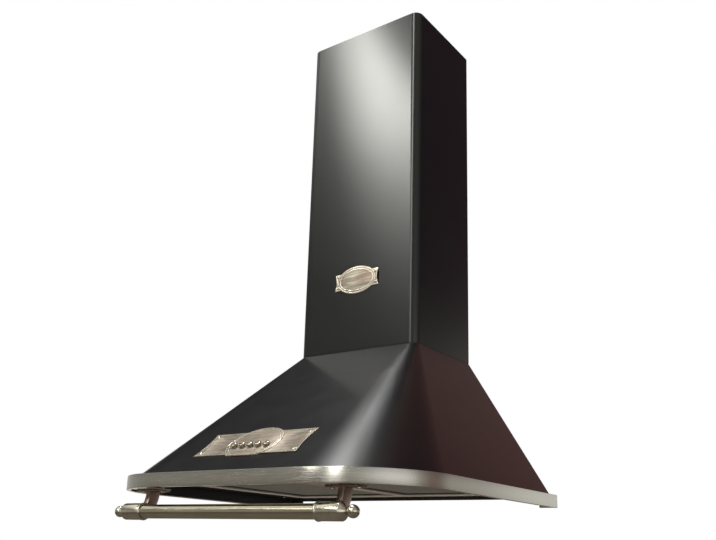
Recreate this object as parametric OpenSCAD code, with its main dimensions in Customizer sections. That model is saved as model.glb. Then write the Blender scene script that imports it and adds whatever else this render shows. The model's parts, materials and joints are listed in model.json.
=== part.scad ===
/* [Trim band] */
// Overall width of the hood, across the trim band
hood_width = 600; // [560:10:720]
// Overall depth of the hood, from the wall to the front of the trim band
hood_depth = 530; // [500:5:580]
// Height of the trim band
band_height = 22; // [18:1:32]
// Outside radius of the two rounded front corners of the trim band
band_corner = 150; // [120:5:180]
// Sheet thickness of the trim band
band_sheet = 1.5; // [1:0.1:2.5]
// Width of the ledge that carries the canopy and the pan
band_ledge = 32; // [29:1:40]
// Width of the turned-in lip at the bottom of the trim band
band_lip = 7; // [4:1:12]

/* [Canopy] */
// How far the canopy foot stands back from the face of the trim band
foot_inset = 13; // [8:1:16]
// How much smaller the corner radius of the canopy foot is than the band's
corner_step = 5; // [2:1:12]
// Width of the canopy neck and of the chimney cover
neck_width = 260; // [240:5:300]
// Depth of the canopy neck and of the chimney cover
neck_depth = 200; // [196:2:230]
// Corner radius of the neck and of the chimney cover
neck_corner = 16; // [6:1:20]
// Height of the neck seam above the bottom of the trim band
neck_height = 274; // [265:1:330]
// Horizontal wall thickness of the canopy shell
canopy_wall = 1.8; // [1.2:0.1:2.5]
// Width of the canopy's turned-in foot flange
foot_flange = 9; // [7:1:12]
// Width of the canopy's turned-in flanges at the wall
rear_flange = 15; // [10:1:20]
// Thickness of the cap plate at the neck
cap_sheet = 1.2; // [1:0.1:2]
// Height of the shadow step between the canopy and the chimney cover
seam_step = 1.2; // [0.8:0.1:2.5]

/* [Back panel] */
// Sheet thickness of the back panel
back_sheet = 1.2; // [1:0.1:2]
// How far the back panel hangs below the canopy foot
back_drop = 7; // [4:1:12]
// Distance between the wall bolts, across
bolt_across = 230; // [200:5:240]
// Distance between the wall bolts, up and down
bolt_rise = 170; // [140:5:180]
// Height of the lower wall bolts above the bottom of the trim band
bolt_low = 60; // [50:1:70]
// Radius of the wall bolt holes
bolt_radius = 4; // [3:0.5:5]

/* [Chimney] */
// Height of the chimney cover
cover_height = 673; // [500:1:900]
// Sheet thickness of the chimney cover
cover_sheet = 1.2; // [0.8:0.1:1.6]
// Width of the cover's turned-in flanges at the wall
cover_flange = 15; // [8:1:17]
// Length of the cover's fixing lugs
lug_length = 18; // [14:1:22]
// Width of the cover's fixing lugs
lug_width = 24; // [14:1:40]
// Sheet thickness of the sliding inner chimney
inner_sheet = 1; // [0.8:0.1:1.4]
// Gap between the chimney cover and the inner chimney
inner_gap = 1; // [0.5:0.1:1.5]
// Length of the inner chimney
inner_length = 650; // [400:1:660]
// Width of the inner chimney's flanges at the wall
inner_flange = 14; // [12:1:18]
// Height of the wall bracket in the inner chimney
bracket_height = 40; // [24:1:60]
// How far the wall bracket lies below the top of the inner chimney
bracket_drop = 25; // [10:1:80]
// Sheet thickness of the wall bracket
bracket_sheet = 1.5; // [1:0.1:2.5]
// Distance between the wall bracket's two holes
bracket_bolts = 160; // [100:5:170]
// Radius of the wall bracket's holes
bracket_bolt_radius = 3; // [2:0.5:4]

/* [Underside pan and grease filters] */
// Sheet thickness of the underside pan
pan_sheet = 1.2; // [0.8:0.1:1.5]
// Gap between the canopy foot flange and the pan
pan_gap = 0.5; // [0.3:0.1:1]
// Depth of the plain panel in front of the filters
front_panel = 152; // [120:1:180]
// Width of the pan beside the filters
side_panel = 28; // [12:1:50]
// Depth of the pan behind the filters
rear_panel = 38; // [20:1:60]
// Half of the distance between the two filters
filter_half_gap = 8; // [7:0.5:14]
// Distance from the wall to the rear screws of the pan
pan_screw_back = 60; // [40:1:120]
// Thickness of a filter
filter_thick = 9; // [7:0.5:12]
// Width of the filter's frame
filter_border = 14; // [12:1:20]
// Wall thickness of the filter's frame channel
filter_wall = 1; // [0.8:0.1:1.5]
// Gap round a filter in its aperture
filter_gap = 2; // [1.8:0.1:3]
// Spacing of the filter's mesh bars
mesh_pitch = 18; // [14:1:26]
// Width of one mesh bar
mesh_bar = 3; // [2:0.5:5]
// Radius of the filter's hinge pins
hinge_pin_radius = 2; // [1.5:0.1:2.5]
// Thickness of the hinge ears on the pan
ear_sheet = 2; // [1.5:0.1:2]
// Length of the filter's latch slider
latch_length = 40; // [24:1:60]
// Travel of the latch slider
latch_travel = 4; // [3:0.5:5]

/* [Lamps] */
// Distance between the two lamps
lamp_spacing = 260; // [200:10:300]
// Distance from the band's ledge back to the lamp centres
lamp_back = 75; // [60:1:90]
// Outside radius of the lamp flange
lamp_flange_radius = 37; // [34:0.5:42]
// Outside radius of the lamp housing
lamp_radius = 31; // [26:0.5:32]
// Height of the lamp housing above the pan
lamp_height = 24; // [18:1:40]
// Thickness of the lamp lens
lens_thick = 2; // [1.5:0.1:3]

/* [Hanging rail] */
// Radius of the rail tube
rail_radius = 10.8; // [8:0.1:12]
// Wall thickness of the rail tube
rail_wall = 1.5; // [1:0.1:2.5]
// Distance from the rail axis back to the face of the trim band
rail_back = 15; // [10:1:22]
// Distance from the rail axis down from the bottom of the trim band
rail_drop = 36.5; // [30:0.5:50]
// Distance from the side of the hood to the inner edge of an end cap
cap_inset = 127; // [120:0.5:150]
// Radius of the rail end caps
cap_radius = 13; // [12:0.1:16]
// Length of the straight part of an end cap
cap_length = 42; // [34:0.5:50]
// Height of the end cap's bead above its barrel
cap_ridge = 0.5; // [0.2:0.1:1]
// Length of the tapered nose of an end cap
cap_nose = 6.5; // [5:0.5:24]
// Depth of the socket in an end cap that holds the tube
cap_socket = 12; // [6:1:20]
// Radius of the ball finials
ball_radius = 9; // [6:0.1:11]
// Radius of the finial's neck
ball_neck = 3.4; // [2.5:0.1:5]

/* [Rail brackets] */
// Distance from the face of the trim band back to the middle of the bracket base
arm_back = 48; // [44:1:60]
// Width of the bracket's arm, along the rail
arm_width = 10; // [9:0.5:20]
// Depth of the bracket's arm, from front to back
arm_depth = 20; // [16:0.5:24]
// Radius of the arm's curve
arm_bend = 55; // [50:1:80]
// Distance from the rail axis down to the arm's lower end
arm_end = 9; // [7:0.5:12]
// Width of the bracket base
base_width = 56; // [40:1:58]
// Depth of the bracket base
base_depth = 22; // [20:1:26]
// Thickness of the bracket base
base_sheet = 3; // [2:0.1:4]
// Distance between the two screws of a bracket base
base_screws = 44; // [30:1:48]
// Distance from the inner edge of an end cap to the middle of its bracket
bracket_seat = 21; // [18:0.5:30]

/* [Control plate and buttons] */
// Width of the control plate
control_width = 210; // [180:5:260]
// Height of the control plate, up the slope
control_height = 65; // [55:1:80]
// Distance from the canopy foot up the slope to the control plate
control_low = 44; // [20:1:80]
// Thickness of the control plate
control_sheet = 1.6; // [1:0.1:3]
// Depth of the hollow curve in each end of a plate
end_hollow = 4; // [1:0.5:8]
// Half width of the oval medallion
oval_half_width = 52; // [48:1:70]
// Half height of the oval medallion
oval_half_height = 45; // [38:1:52]
// Distance from the plate's lower edge up to the middle of the oval
oval_rise = 32; // [30:1:42]
// Height of the raised rings
ring_rise = 0.8; // [0.4:0.1:1.5]
// Width of the raised rings
ring_width = 2; // [1:0.1:3]
// Distance between two buttons
button_pitch = 16.5; // [14:0.5:18]
// Distance from the plate's lower edge up to the buttons
button_rise = 22.5; // [20:0.5:32]
// Radius of a button's cap
button_radius = 5.6; // [4.8:0.1:6.2]
// Radius of a button's stem
stem_radius = 4; // [2.5:0.1:4.2]
// Height of a released button above the plate
button_height = 6; // [6:0.5:12]
// Travel of a button
button_travel = 2; // [2:0.5:3]
// Depth of the switch box behind the plate
switch_depth = 30; // [20:1:45]
// Height of the switch box, up the slope
switch_height = 26; // [20:1:30]

/* [Name plate] */
// Length of the name plate
name_length = 100; // [90:1:130]
// Height of the ears of the name plate
name_ear = 32; // [24:1:40]
// Half width of the plate's oval
name_half_width = 44; // [38:1:50]
// Half height of the plate's oval
name_half_height = 27; // [22:1:36]
// Height of the middle of the name plate above the seam
name_rise = 136; // [60:1:400]
// Thickness of the name plate
name_sheet = 1.5; // [1:0.1:3]
// Radius of a rivet's shank
rivet_radius = 1.2; // [0.8:0.1:1.4]
// Radius of a rivet's head
rivet_head = 2.2; // [1.6:0.1:2.2]

/* [Blower] */
// Radius of the impeller
impeller_radius = 70; // [60:1:72]
// Width of the impeller
impeller_width = 100; // [70:1:105]
// Number of impeller blades
blade_count = 30; // [20:1:40]
// Depth of an impeller blade
blade_depth = 13; // [8:1:18]
// Thickness of an impeller blade
blade_sheet = 1.2; // [0.8:0.1:2]
// Smallest gap between the impeller and the scroll
scroll_gap = 7; // [5:0.5:8]
// How much the scroll opens from its tongue to its front
scroll_growth = 20; // [12:1:24]
// Sheet thickness of the blower housing
scroll_sheet = 1.2; // [0.8:0.1:1.6]
// Gap between the impeller and the side plates
scroll_side_gap = 8; // [5:0.5:8]
// Distance from the wall to the fan shaft
shaft_back = 90; // [86:1:96]
// Height of the fan shaft above the bottom of the trim band
fan_height = 150; // [140:1:160]
// Radius of the motor
motor_radius = 42; // [34:1:48]
// Length of the motor
motor_length = 62; // [50:1:76]
// Radius of the motor shaft
shaft_radius = 4; // [3:0.5:6]
// Radius of the blower's air inlet
inlet_radius = 54; // [46:1:58]

/* [Duct collar] */
// Outside radius of the duct collar
collar_radius = 74.5; // [59.5:0.5:75]
// Wall thickness of the duct collar
collar_wall = 1.5; // [1:0.1:2.5]
// Height of the duct collar
collar_height = 46; // [30:1:70]
// Distance from the wall to the middle of the duct collar
collar_back = 105; // [102:1:108]
// Half width of the square flange under the collar
collar_flange = 84; // [82:1:88]
// Thickness of the collar's flange
collar_flange_sheet = 1.5; // [1:0.1:2.5]
// Height of the flap rod above the collar's flange
rod_rise = 14; // [8:1:30]
// Radius of the flap rod
rod_radius = 1.5; // [1:0.1:2.5]
// Thickness of the two flaps
flap_sheet = 1; // [0.6:0.1:1.5]

/* [Electrics] */
// Width of the terminal box
terminal_width = 80; // [60:1:100]
// Height of the terminal box
terminal_height = 66; // [50:1:80]
// Depth of the terminal box
terminal_depth = 36; // [28:1:45]
// Distance from the middle of the hood to the terminal box
terminal_side = 92; // [90:1:100]
// Radius of the capacitor
capacitor_radius = 16; // [12:1:20]
// Length of the capacitor
capacitor_length = 58; // [40:1:80]
// Radius of the cable gland's bore
gland_bore = 4; // [3:0.1:5]

/* [Fasteners and clearances] */
// Radius of a screw shank
screw_radius = 2; // [1.5:0.1:2.5]
// Radius of a screw head
screw_head = 3.8; // [3:0.1:4.5]
// Height of a screw head
screw_rise = 2.2; // [1.5:0.1:3]
// Radial clearance of a turning fit
turning_fit = 0.05; // [0.02:0.01:0.1]
// Clearance round pieces that slide
sliding_gap = 0.3; // [0.3:0.05:0.4]
// Clearance of pieces that are seated
seat_gap = 0.1; // [0.05:0.05:0.3]

/* [Hidden] */
$fn = 64;
hull_fn = 32;

// the model is drawn from the bottom of the trim band and stored from the middle of the wall bolts
origin_height = bolt_low + bolt_rise / 2;
module placed() translate([0, 0, -origin_height]) children();

// canopy
foot_width = hood_width - 2 * foot_inset;
foot_depth = hood_depth - foot_inset;
foot_corner = band_corner - corner_step;
foot_z = band_height;
front_run = foot_depth - neck_depth;
neck_rise = neck_height - foot_z;
foot_edge = 0.4;
front_rise = neck_rise - foot_edge;
front_angle = atan2(front_rise, front_run);
cap_bottom = neck_height - cap_sheet;
cap_top = neck_height + seam_step;
flange_sheet = 1.5;
function edge_x(z) = foot_width / 2 + (neck_width - foot_width) / 2 * (z - foot_z) / neck_rise;

// chimney
cover_top = cap_top + cover_height;
inner_bottom = cap_top + cover_sheet + sliding_gap;
inner_width = neck_width - 2 * (cover_sheet + inner_gap);
inner_depth = neck_depth - cover_sheet - inner_gap;
inner_corner = max(neck_corner - cover_sheet - inner_gap, 2);
inner_rear = cover_sheet + 0.5;
bracket_top = inner_bottom + inner_length - bracket_drop;
lug_y = neck_depth / 2;
lug_screw_x = neck_width / 2 - cover_sheet - lug_length * 0.6;

// underside
pan_inner_x = hood_width / 2 - band_ledge;
pan_top = band_height + pan_sheet;
filter_width = pan_inner_x - side_panel - filter_half_gap;
filter_front = hood_depth - band_ledge - front_panel;
filter_depth = filter_front - rear_panel;
hinge_y = rear_panel + 3;
hinge_z = band_height + filter_thick / 2;
ear_inset = filter_gap + 0.4;
lamp_y = hood_depth - band_ledge - lamp_back;

// rail
cap_inner = hood_width / 2 - cap_inset;
bracket_x = cap_inner + bracket_seat;
rail_y = hood_depth - rail_back;
arm_y = hood_depth - arm_back;
arm_start = base_sheet / 2;
arm_centre = arm_y - arm_depth / 2 + arm_bend;
arm_bore = screw_head + 0.2;
arm_seat = arm_centre - sqrt(pow(arm_bend, 2) - pow(rail_drop + arm_bore, 2)) + 0.4;
arm_screw = rail_y - cap_radius + 8 - arm_seat;
cap_outer = cap_inner + cap_length;
ball_x = cap_outer + cap_nose + 0.5 + ball_radius;

// controls
button_count = 5;
control_middle = control_low + control_height / 2;
oval_y = control_low + oval_rise;
button_y = control_low + button_rise;
switch_width = button_pitch * button_count + 8;
screw_x = control_width / 2 - 10;

// blower
scroll_radius = impeller_radius + scroll_gap;
tongue_angle = 40;
scroll_max = scroll_radius + scroll_growth;
scroll_width = impeller_width + 2 * scroll_side_gap;
scroll_steps = 36;
outlet_front = shaft_back + scroll_max;
outlet_rear = shaft_back - scroll_radius * cos(tongue_angle);
hub_side = -impeller_width / 2;

// collar
collar_base = cap_top + collar_flange_sheet;
collar_bore = collar_radius - collar_wall;
rod_z = collar_base + rod_rise;
knuckle_radius = rod_radius + 1.5;
flap_edge = knuckle_radius + sliding_gap;
flap_radius = collar_bore - 1.5;
collar_screw = collar_flange - 8;

// plan of the hood, square at the wall and rounded at the two front corners
module plan(w, d, r, back = 0) {
    translate([-w / 2, -(d - r)]) square([w, d - r + back]);
    translate([-(w / 2 - r), -d]) square([w - 2 * r, d + back]);
    translate([w / 2 - r, -(d - r)]) circle(r);
    translate([-(w / 2 - r), -(d - r)]) circle(r);
}

module band_plan(inset, back = 0) plan(hood_width - 2 * inset, hood_depth - inset, band_corner - inset, back);

module band_ring(outer, inner) difference() {
    band_plan(outer);
    band_plan(inner, 1);
}

module foot_plan(inset, back = 0) plan(foot_width - 2 * inset, foot_depth - inset, foot_corner - inset, back);

module neck_plan(inset, back = 0)
    plan(neck_width - 2 * inset, neck_depth - inset, max(neck_corner - inset, 1), back);

// turns a drawing made across the hood so that it is extruded along X
module along_x(start, length) translate([start, 0, 0]) rotate([90, 0, 90]) linear_extrude(length) children();

// turns a drawing made in the wall plane so that it is extruded away from the wall
module off_wall(start, length)
    translate([0, -start, 0]) rotate([90, 0, 0]) linear_extrude(length) children();

// the sloping front: X across, Y up the slope, Z square out of it
module on_front() translate([0, -foot_depth, foot_z + foot_edge]) rotate([front_angle, 0, 0])
    translate([0, 0, 0.02]) children();

// the front of the chimney cover: X across, Y up, Z square out of it
module on_cover() translate([0, -neck_depth, cap_top]) rotate([90, 0, 0]) children();

module both_sides() {
    children();
    mirror([1, 0, 0]) children();
}

function oval_points(a, b, y, count = 48) =
    [for (i = [0 : count - 1]) [a * cos(360 * i / count), y + b * sin(360 * i / count)]];

// a screw whose head's underside is at the origin, with the head above it
module screw(length) {
    cylinder(r = screw_head, h = screw_rise * 0.5);
    intersection() {
        cylinder(r = screw_head, h = screw_rise);
        translate([0, 0, screw_rise - screw_head * 2]) sphere(screw_head * 2);
    }
    translate([0, 0, -length]) cylinder(r = screw_radius, h = length + 0.2);
}

module canopy_solid() hull() {
    translate([0, 0, foot_z]) linear_extrude(foot_edge) foot_plan(0, $fn = hull_fn);
    translate([0, 0, neck_height - foot_edge]) linear_extrude(foot_edge) neck_plan(0, $fn = hull_fn);
}

module canopy_void() hull() {
    translate([0, 0, foot_z - 0.4]) linear_extrude(0.6) foot_plan(canopy_wall, 1, $fn = hull_fn);
    translate([0, 0, cap_bottom - 0.4]) linear_extrude(0.4) neck_plan(canopy_wall, 1, $fn = hull_fn);
}

module rear_strip() off_wall(back_sheet, flange_sheet) polygon([
    [edge_x(foot_z), foot_z - 1], [edge_x(neck_height), neck_height],
    [edge_x(neck_height) - rear_flange, neck_height], [edge_x(foot_z) - rear_flange, foot_z - 1]]);

module canopy_shell() color([0.05, 0.05, 0.055]) placed() {
    difference() {
        union() {
            difference() {
                canopy_solid();
                difference() {
                    canopy_void();
                    both_sides() rear_strip();
                    translate([0, 0, foot_z - 1]) linear_extrude(1 + flange_sheet) difference() {
                        foot_plan(0.5);
                        foot_plan(canopy_wall + foot_flange, 1);
                    }
                }
            }
            translate([0, 0, neck_height - 0.5]) linear_extrude(0.5 + seam_step) neck_plan(0.5);
        }
        translate([0, -collar_back, cap_bottom - 1]) cylinder(r = collar_bore, h = 5 + seam_step);
        collar_screw_places() translate([0, 0, cap_bottom - 1])
            cylinder(r = screw_radius + seat_gap, h = 5 + seam_step);
        lug_screw_places() translate([0, 0, cap_bottom - 1])
            cylinder(r = screw_radius + seat_gap, h = 5 + seam_step);
        on_front() translate([-switch_width / 2 - 0.5, button_y - switch_height / 2 - 0.5, -6])
            cube([switch_width + 1, switch_height + 1, 12]);
        on_front() control_screw_places() translate([0, 0, -6])
            cylinder(r = screw_radius * 0.7 + seat_gap, h = 12);
    }
}

module back_panel() color([0.12, 0.12, 0.125]) placed() {
    side = canopy_wall + 0.8;
    low = foot_z + flange_sheet + 0.5;
    low_x = hood_width / 2 - band_ledge - sliding_gap;
    difference() {
        off_wall(0, back_sheet) polygon([
            [low_x, foot_z - back_drop], [low_x, low], [edge_x(low) - side, low],
            [edge_x(cap_bottom) - side, cap_bottom - 0.3], [-edge_x(cap_bottom) + side, cap_bottom - 0.3],
            [-edge_x(low) + side, low], [-low_x, low], [-low_x, foot_z - back_drop]]);
        for (x = [-1, 1], z = [0, 1])
            translate([x * bolt_across / 2, 1, bolt_low + z * bolt_rise])
                rotate([90, 0, 0]) cylinder(r = bolt_radius, h = back_sheet + 2);
    }
}

module trim_band() color([0.66, 0.64, 0.6]) placed() difference() {
    union() {
        linear_extrude(band_height) band_ring(0, band_sheet);
        translate([0, 0, band_height - band_sheet]) linear_extrude(band_sheet)
            band_ring(band_sheet / 2, band_ledge);
        linear_extrude(band_sheet) band_ring(band_sheet / 2, band_lip);
        both_sides() translate([hood_width / 2 - band_ledge, -band_sheet, 0])
            cube([band_ledge, band_sheet, band_height]);
    }
    pan_screw_places() cylinder(r = screw_radius + seat_gap, h = band_height + 1);
}

// two tabs behind the band's lip, which carry the rail brackets
module rail_tabs() color([0.66, 0.64, 0.6]) placed() difference() {
    linear_extrude(band_sheet) both_sides() intersection() {
        band_plan(band_lip + seat_gap);
        translate([bracket_x - base_width / 2, -hood_depth])
            square([base_width, arm_back + base_depth / 2 + 2]);
    }
    base_screw_places() translate([0, 0, -1]) cylinder(r = screw_radius + seat_gap, h = band_sheet + 2);
}

module pan_screw_places() {
    u = band_ledge - 4;
    for (x = [-1, 1]) {
        translate([x * (hood_width / 2 - u), -pan_screw_back, 0]) children();
        translate([x * (hood_width / 2 - u), -(hood_depth - band_corner) + 30, 0]) children();
        translate([x * (hood_width / 2 - band_corner) * 0.5, -(hood_depth - u), 0]) children();
    }
}

module pan_screws() color([0.7, 0.69, 0.66]) placed() pan_screw_places()
    translate([0, 0, band_height - band_sheet]) mirror([0, 0, 1]) screw(band_sheet + pan_sheet + 4);

module filter_places() {
    translate([filter_half_gap, 0, 0]) children();
    translate([-filter_half_gap - filter_width, 0, 0]) children();
}

module hinge_ear(x) difference() {
    translate([x, -hinge_y - 5, band_height]) cube([ear_sheet, 10, filter_thick / 2 + 5]);
    translate([x - 1, -hinge_y, hinge_z]) rotate([0, 90, 0])
        cylinder(r = hinge_pin_radius + turning_fit, h = ear_sheet + 2);
}

module underside_pan() color([0.62, 0.6, 0.57]) placed() {
    u = foot_inset + canopy_wall + foot_flange + pan_gap;
    difference() {
        translate([0, 0, band_height]) linear_extrude(pan_sheet) difference() {
            intersection() {
                plan(hood_width - 2 * u, hood_depth - u, foot_corner + foot_inset - u);
                translate([-hood_width, -hood_depth])
                    square([2 * hood_width, hood_depth - back_sheet - flange_sheet - sliding_gap]);
            }
            filter_places() translate([-filter_gap, -filter_front - filter_gap])
                square([filter_width + 2 * filter_gap, filter_depth + 2 * filter_gap]);
            lamp_places() circle(lamp_radius + 0.5);
        }
        pan_screw_places() cylinder(r = screw_radius + seat_gap, h = band_height + 5);
    }
    filter_places() {
        hinge_ear(-ear_inset - ear_sheet);
        hinge_ear(filter_width + ear_inset);
    }
}

module lamp_places() for (x = [-1, 1]) translate([x * lamp_spacing / 2, -lamp_y]) children();

module lamp_at(x) translate([x * lamp_spacing / 2, -lamp_y, 0]) children();

// the lamp's body: flange under the pan, barrel through it and closed top
module lamp_housing(x) color([0.72, 0.71, 0.68]) placed() lamp_at(x) rotate_extrude() polygon([
    [lamp_radius - 4, band_height - 1.5], [lamp_flange_radius - 0.6, band_height - 1.5],
    [lamp_flange_radius, band_height - 0.9], [lamp_flange_radius, band_height],
    [lamp_radius, band_height], [lamp_radius, pan_top + lamp_height], [0, pan_top + lamp_height],
    [0, pan_top + lamp_height - 1.2], [lamp_radius - 1.2, pan_top + lamp_height - 1.2],
    [lamp_radius - 1.2, band_height + lens_thick + 1.6], [lamp_radius - 5, band_height + lens_thick + 1.6],
    [lamp_radius - 5, band_height + lens_thick - 1.2], [lamp_radius - 4, band_height + lens_thick - 1.2]]);

module lamp_lens(x) color([0.92, 0.93, 0.9]) placed() lamp_at(x)
    translate([0, 0, band_height - 1.2 - seat_gap])
        cylinder(r = lamp_radius - 4 - seat_gap, h = lens_thick);

module lamp_module(x) color([0.85, 0.8, 0.5]) placed() lamp_at(x) {
    top = pan_top + lamp_height - 1.2;
    translate([0, 0, top - 6]) cylinder(r = lamp_radius - 4, h = 6);
    for (a = [0 : 45 : 315]) rotate([0, 0, a]) translate([lamp_radius * 0.45, 0, top - 7])
        cylinder(r = 2, h = 1.2);
}

module lamp_housing_left() lamp_housing(-1);
module lamp_housing_right() lamp_housing(1);
module lamp_lens_left() lamp_lens(-1);
module lamp_lens_right() lamp_lens(1);
module lamp_module_left() lamp_module(-1);
module lamp_module_right() lamp_module(1);

// one filter is drawn with its left side at X = 0
module filter_at(side)
    translate([side > 0 ? filter_half_gap : -filter_half_gap - filter_width, 0, band_height]) children();

module filter_frame(side) color([0.75, 0.75, 0.74]) placed() filter_at(side) {
    latch_x = filter_width / 2;
    difference() {
        translate([0, -filter_front, 0]) cube([filter_width, filter_depth, filter_thick]);
        translate([filter_wall, -filter_front + filter_border, filter_wall])
            cube([filter_width - 2 * filter_wall, filter_depth - filter_border - filter_wall,
                filter_thick - 2 * filter_wall]);
        translate([filter_border, -filter_front + filter_border, -1])
            cube([filter_width - 2 * filter_border, filter_depth - 2 * filter_border, filter_thick + 2]);
        translate([latch_x - latch_length / 2 - sliding_gap, -filter_front - 1, filter_wall + 0.5])
            cube([latch_length + 2 * sliding_gap, filter_border - 1, filter_thick - 2 * filter_wall - 1]);
        translate([latch_x - 9, -filter_front + 1, -1]) cube([18, filter_border - 3, filter_wall + 2]);
    }
    translate([-ear_inset - ear_sheet - 0.3, -hinge_y, filter_thick / 2]) rotate([0, 90, 0])
        cylinder(r = hinge_pin_radius, h = ear_inset + ear_sheet + 0.8);
    translate([filter_width - 0.5, -hinge_y, filter_thick / 2]) rotate([0, 90, 0])
        cylinder(r = hinge_pin_radius, h = ear_inset + ear_sheet + 0.8);
}

module filter_mesh(side) color([0.7, 0.7, 0.69]) placed() filter_at(side) {
    inner_x = filter_width - 2 * (filter_wall + seat_gap);
    inner_y = filter_depth - filter_border - filter_wall - 2 * seat_gap;
    x0 = filter_wall + seat_gap;
    y0 = -filter_front + filter_border + seat_gap;
    low = filter_wall + seat_gap;
    layer = (filter_thick - 2 * low) / 2;
    across = floor((inner_x - mesh_bar) / mesh_pitch);
    along = floor((inner_y - mesh_bar) / mesh_pitch);
    translate([0, 0, low]) linear_extrude(layer + 0.05) for (i = [0 : across])
        translate([x0 + i * (inner_x - mesh_bar) / across, y0]) square([mesh_bar, inner_y]);
    translate([0, 0, low + layer]) linear_extrude(layer) for (i = [0 : along])
        translate([x0, y0 + i * (inner_y - mesh_bar) / along]) square([inner_x, mesh_bar]);
}

module filter_latch(side) color([0.3, 0.3, 0.3]) placed() filter_at(side)
    translate([filter_width / 2, -filter_front, 0]) {
        pocket = filter_border - 2;
        body = pocket - latch_travel - sliding_gap;
        low = filter_wall + 0.5 + sliding_gap;
        translate([-latch_length / 2, 0.2, low])
            cube([latch_length, body - 0.2, filter_thick - 2 * filter_wall - 1 - 2 * sliding_gap]);
        translate([-8, 1 + sliding_gap, -4]) cube([16, 2.4, low + 4.5]);
    }

module filter_frame_left() filter_frame(-1);
module filter_frame_right() filter_frame(1);
module filter_mesh_left() filter_mesh(-1);
module filter_mesh_right() filter_mesh(1);
module filter_latch_left() filter_latch(-1);
module filter_latch_right() filter_latch(1);

// a chimney's folded sheet: open to the wall between two turned-in flanges
module chimney_plan(w, d, r, sheet, flange, rear) difference() {
    plan(w, d, r);
    difference() {
        plan(w - 2 * sheet, d - sheet, max(r - sheet, 0.5));
        translate([-w, -rear - sheet]) square([2 * w, d]);
    }
    translate([-w / 2 + flange, -rear - 2 * sheet]) square([w - 2 * flange, d]);
    if (rear > 0) translate([-w, -rear]) square([2 * w, d]);
}

module lug_screw_places() for (x = [-1, 1]) translate([x * lug_screw_x, -lug_y, 0]) children();

module chimney_cover() color([0.05, 0.05, 0.055]) placed() difference() {
    translate([0, 0, cap_top]) {
        linear_extrude(cover_height)
            chimney_plan(neck_width, neck_depth, neck_corner, cover_sheet, cover_flange, 0);
        both_sides() translate([neck_width / 2 - cover_sheet - lug_length, -lug_y - lug_width / 2, 0])
            cube([lug_length + cover_sheet / 2, lug_width, cover_sheet]);
    }
    lug_screw_places() translate([0, 0, cap_top - 1])
        cylinder(r = screw_radius + seat_gap, h = cover_sheet + 2);
}

module cover_screws() color([0.2, 0.2, 0.2]) placed() lug_screw_places()
    translate([0, 0, cap_top + cover_sheet]) screw(cover_sheet + seam_step + cap_sheet + 4);

module upper_chimney() color([0.06, 0.06, 0.065]) placed() translate([0, 0, inner_bottom])
    linear_extrude(inner_length)
        chimney_plan(inner_width, inner_depth, inner_corner, inner_sheet, inner_flange, inner_rear);

module bracket_screw_places() for (x = [-1, 1])
    translate([x * (inner_width / 2 - inner_flange + 5), 0, bracket_top - bracket_height / 2]) children();

module chimney_bracket() color([0.6, 0.6, 0.6]) placed() {
    seat = inner_rear + inner_sheet;
    reach = inner_width / 2 - inner_sheet - 1;
    step = bracket_bolts / 2 + 12;
    difference() {
        translate([0, 0, bracket_top - bracket_height]) linear_extrude(bracket_height) {
            translate([-step, -bracket_sheet]) square([2 * step, bracket_sheet]);
            both_sides() {
                translate([step - bracket_sheet, -seat - bracket_sheet])
                    square([bracket_sheet, seat + bracket_sheet]);
                translate([step - bracket_sheet, -seat - bracket_sheet])
                    square([reach - step + bracket_sheet, bracket_sheet]);
            }
        }
        for (x = [-1, 1]) translate([x * bracket_bolts / 2, 1, bracket_top - bracket_height / 2])
            rotate([90, 0, 0]) cylinder(r = bracket_bolt_radius, h = bracket_sheet + 2);
        bracket_screw_places() translate([0, 0, 0]) rotate([90, 0, 0])
            cylinder(r = screw_radius + seat_gap, h = 12);
    }
}

module bracket_screws() color([0.6, 0.6, 0.58]) placed() bracket_screw_places()
    translate([0, -inner_rear - inner_sheet - bracket_sheet, 0]) rotate([90, 0, 0]) {
        cylinder(r = screw_head, h = screw_rise);
        translate([0, 0, -bracket_sheet]) cylinder(r = screw_radius, h = bracket_sheet + 0.5);
    }

// a plate outline with hollow ends, drawn about its middle
module hollow_plate(w, h, hollow) {
    r = (h * h / 4 + hollow * hollow) / (2 * hollow);
    difference() {
        translate([-w / 2, -h / 2]) square([w, h]);
        for (x = [-1, 1]) translate([x * (w / 2 - hollow + r), 0]) circle(r, $fn = 96);
    }
}

module oval_ring(a, b, y) difference() {
    polygon(oval_points(a, b, y));
    polygon(oval_points(a - ring_width, b - ring_width, y));
}

module name_screw_places() for (x = [-1, 1], y = [-1, 1])
    translate([x * (name_length / 2 - 7.5), name_rise + y * (name_ear / 2 - 5.5), 0]) children();

module name_plate() color([0.6, 0.57, 0.5]) placed() on_cover() difference() {
    union() {
        linear_extrude(name_sheet) {
            translate([0, name_rise]) hollow_plate(name_length, name_ear, end_hollow);
            polygon(oval_points(name_half_width, name_half_height, name_rise));
        }
        translate([0, 0, name_sheet - 0.1]) linear_extrude(ring_rise + 0.1) {
            oval_ring(name_half_width - 1, name_half_height - 1, name_rise);
            oval_ring(name_half_width - 5, name_half_height - 5, name_rise);
        }
    }
    name_screw_places() translate([0, 0, -1]) cylinder(r = rivet_radius + seat_gap, h = name_sheet + 2);
}

module name_plate_rivets() color([0.85, 0.83, 0.78]) placed() on_cover() name_screw_places() {
    cylinder(r = rivet_radius, h = name_sheet + 0.2);
    translate([0, 0, name_sheet]) intersection() {
        cylinder(r = rivet_head, h = rivet_head * 0.6);
        translate([0, 0, -rivet_head * 0.6]) sphere(rivet_head * 1.18);
    }
}

module control_screw_places() for (x = [-1, 1], y = [-1, 1])
    translate([x * screw_x, control_middle + y * (control_height / 2 - 8), 0]) children();

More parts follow.
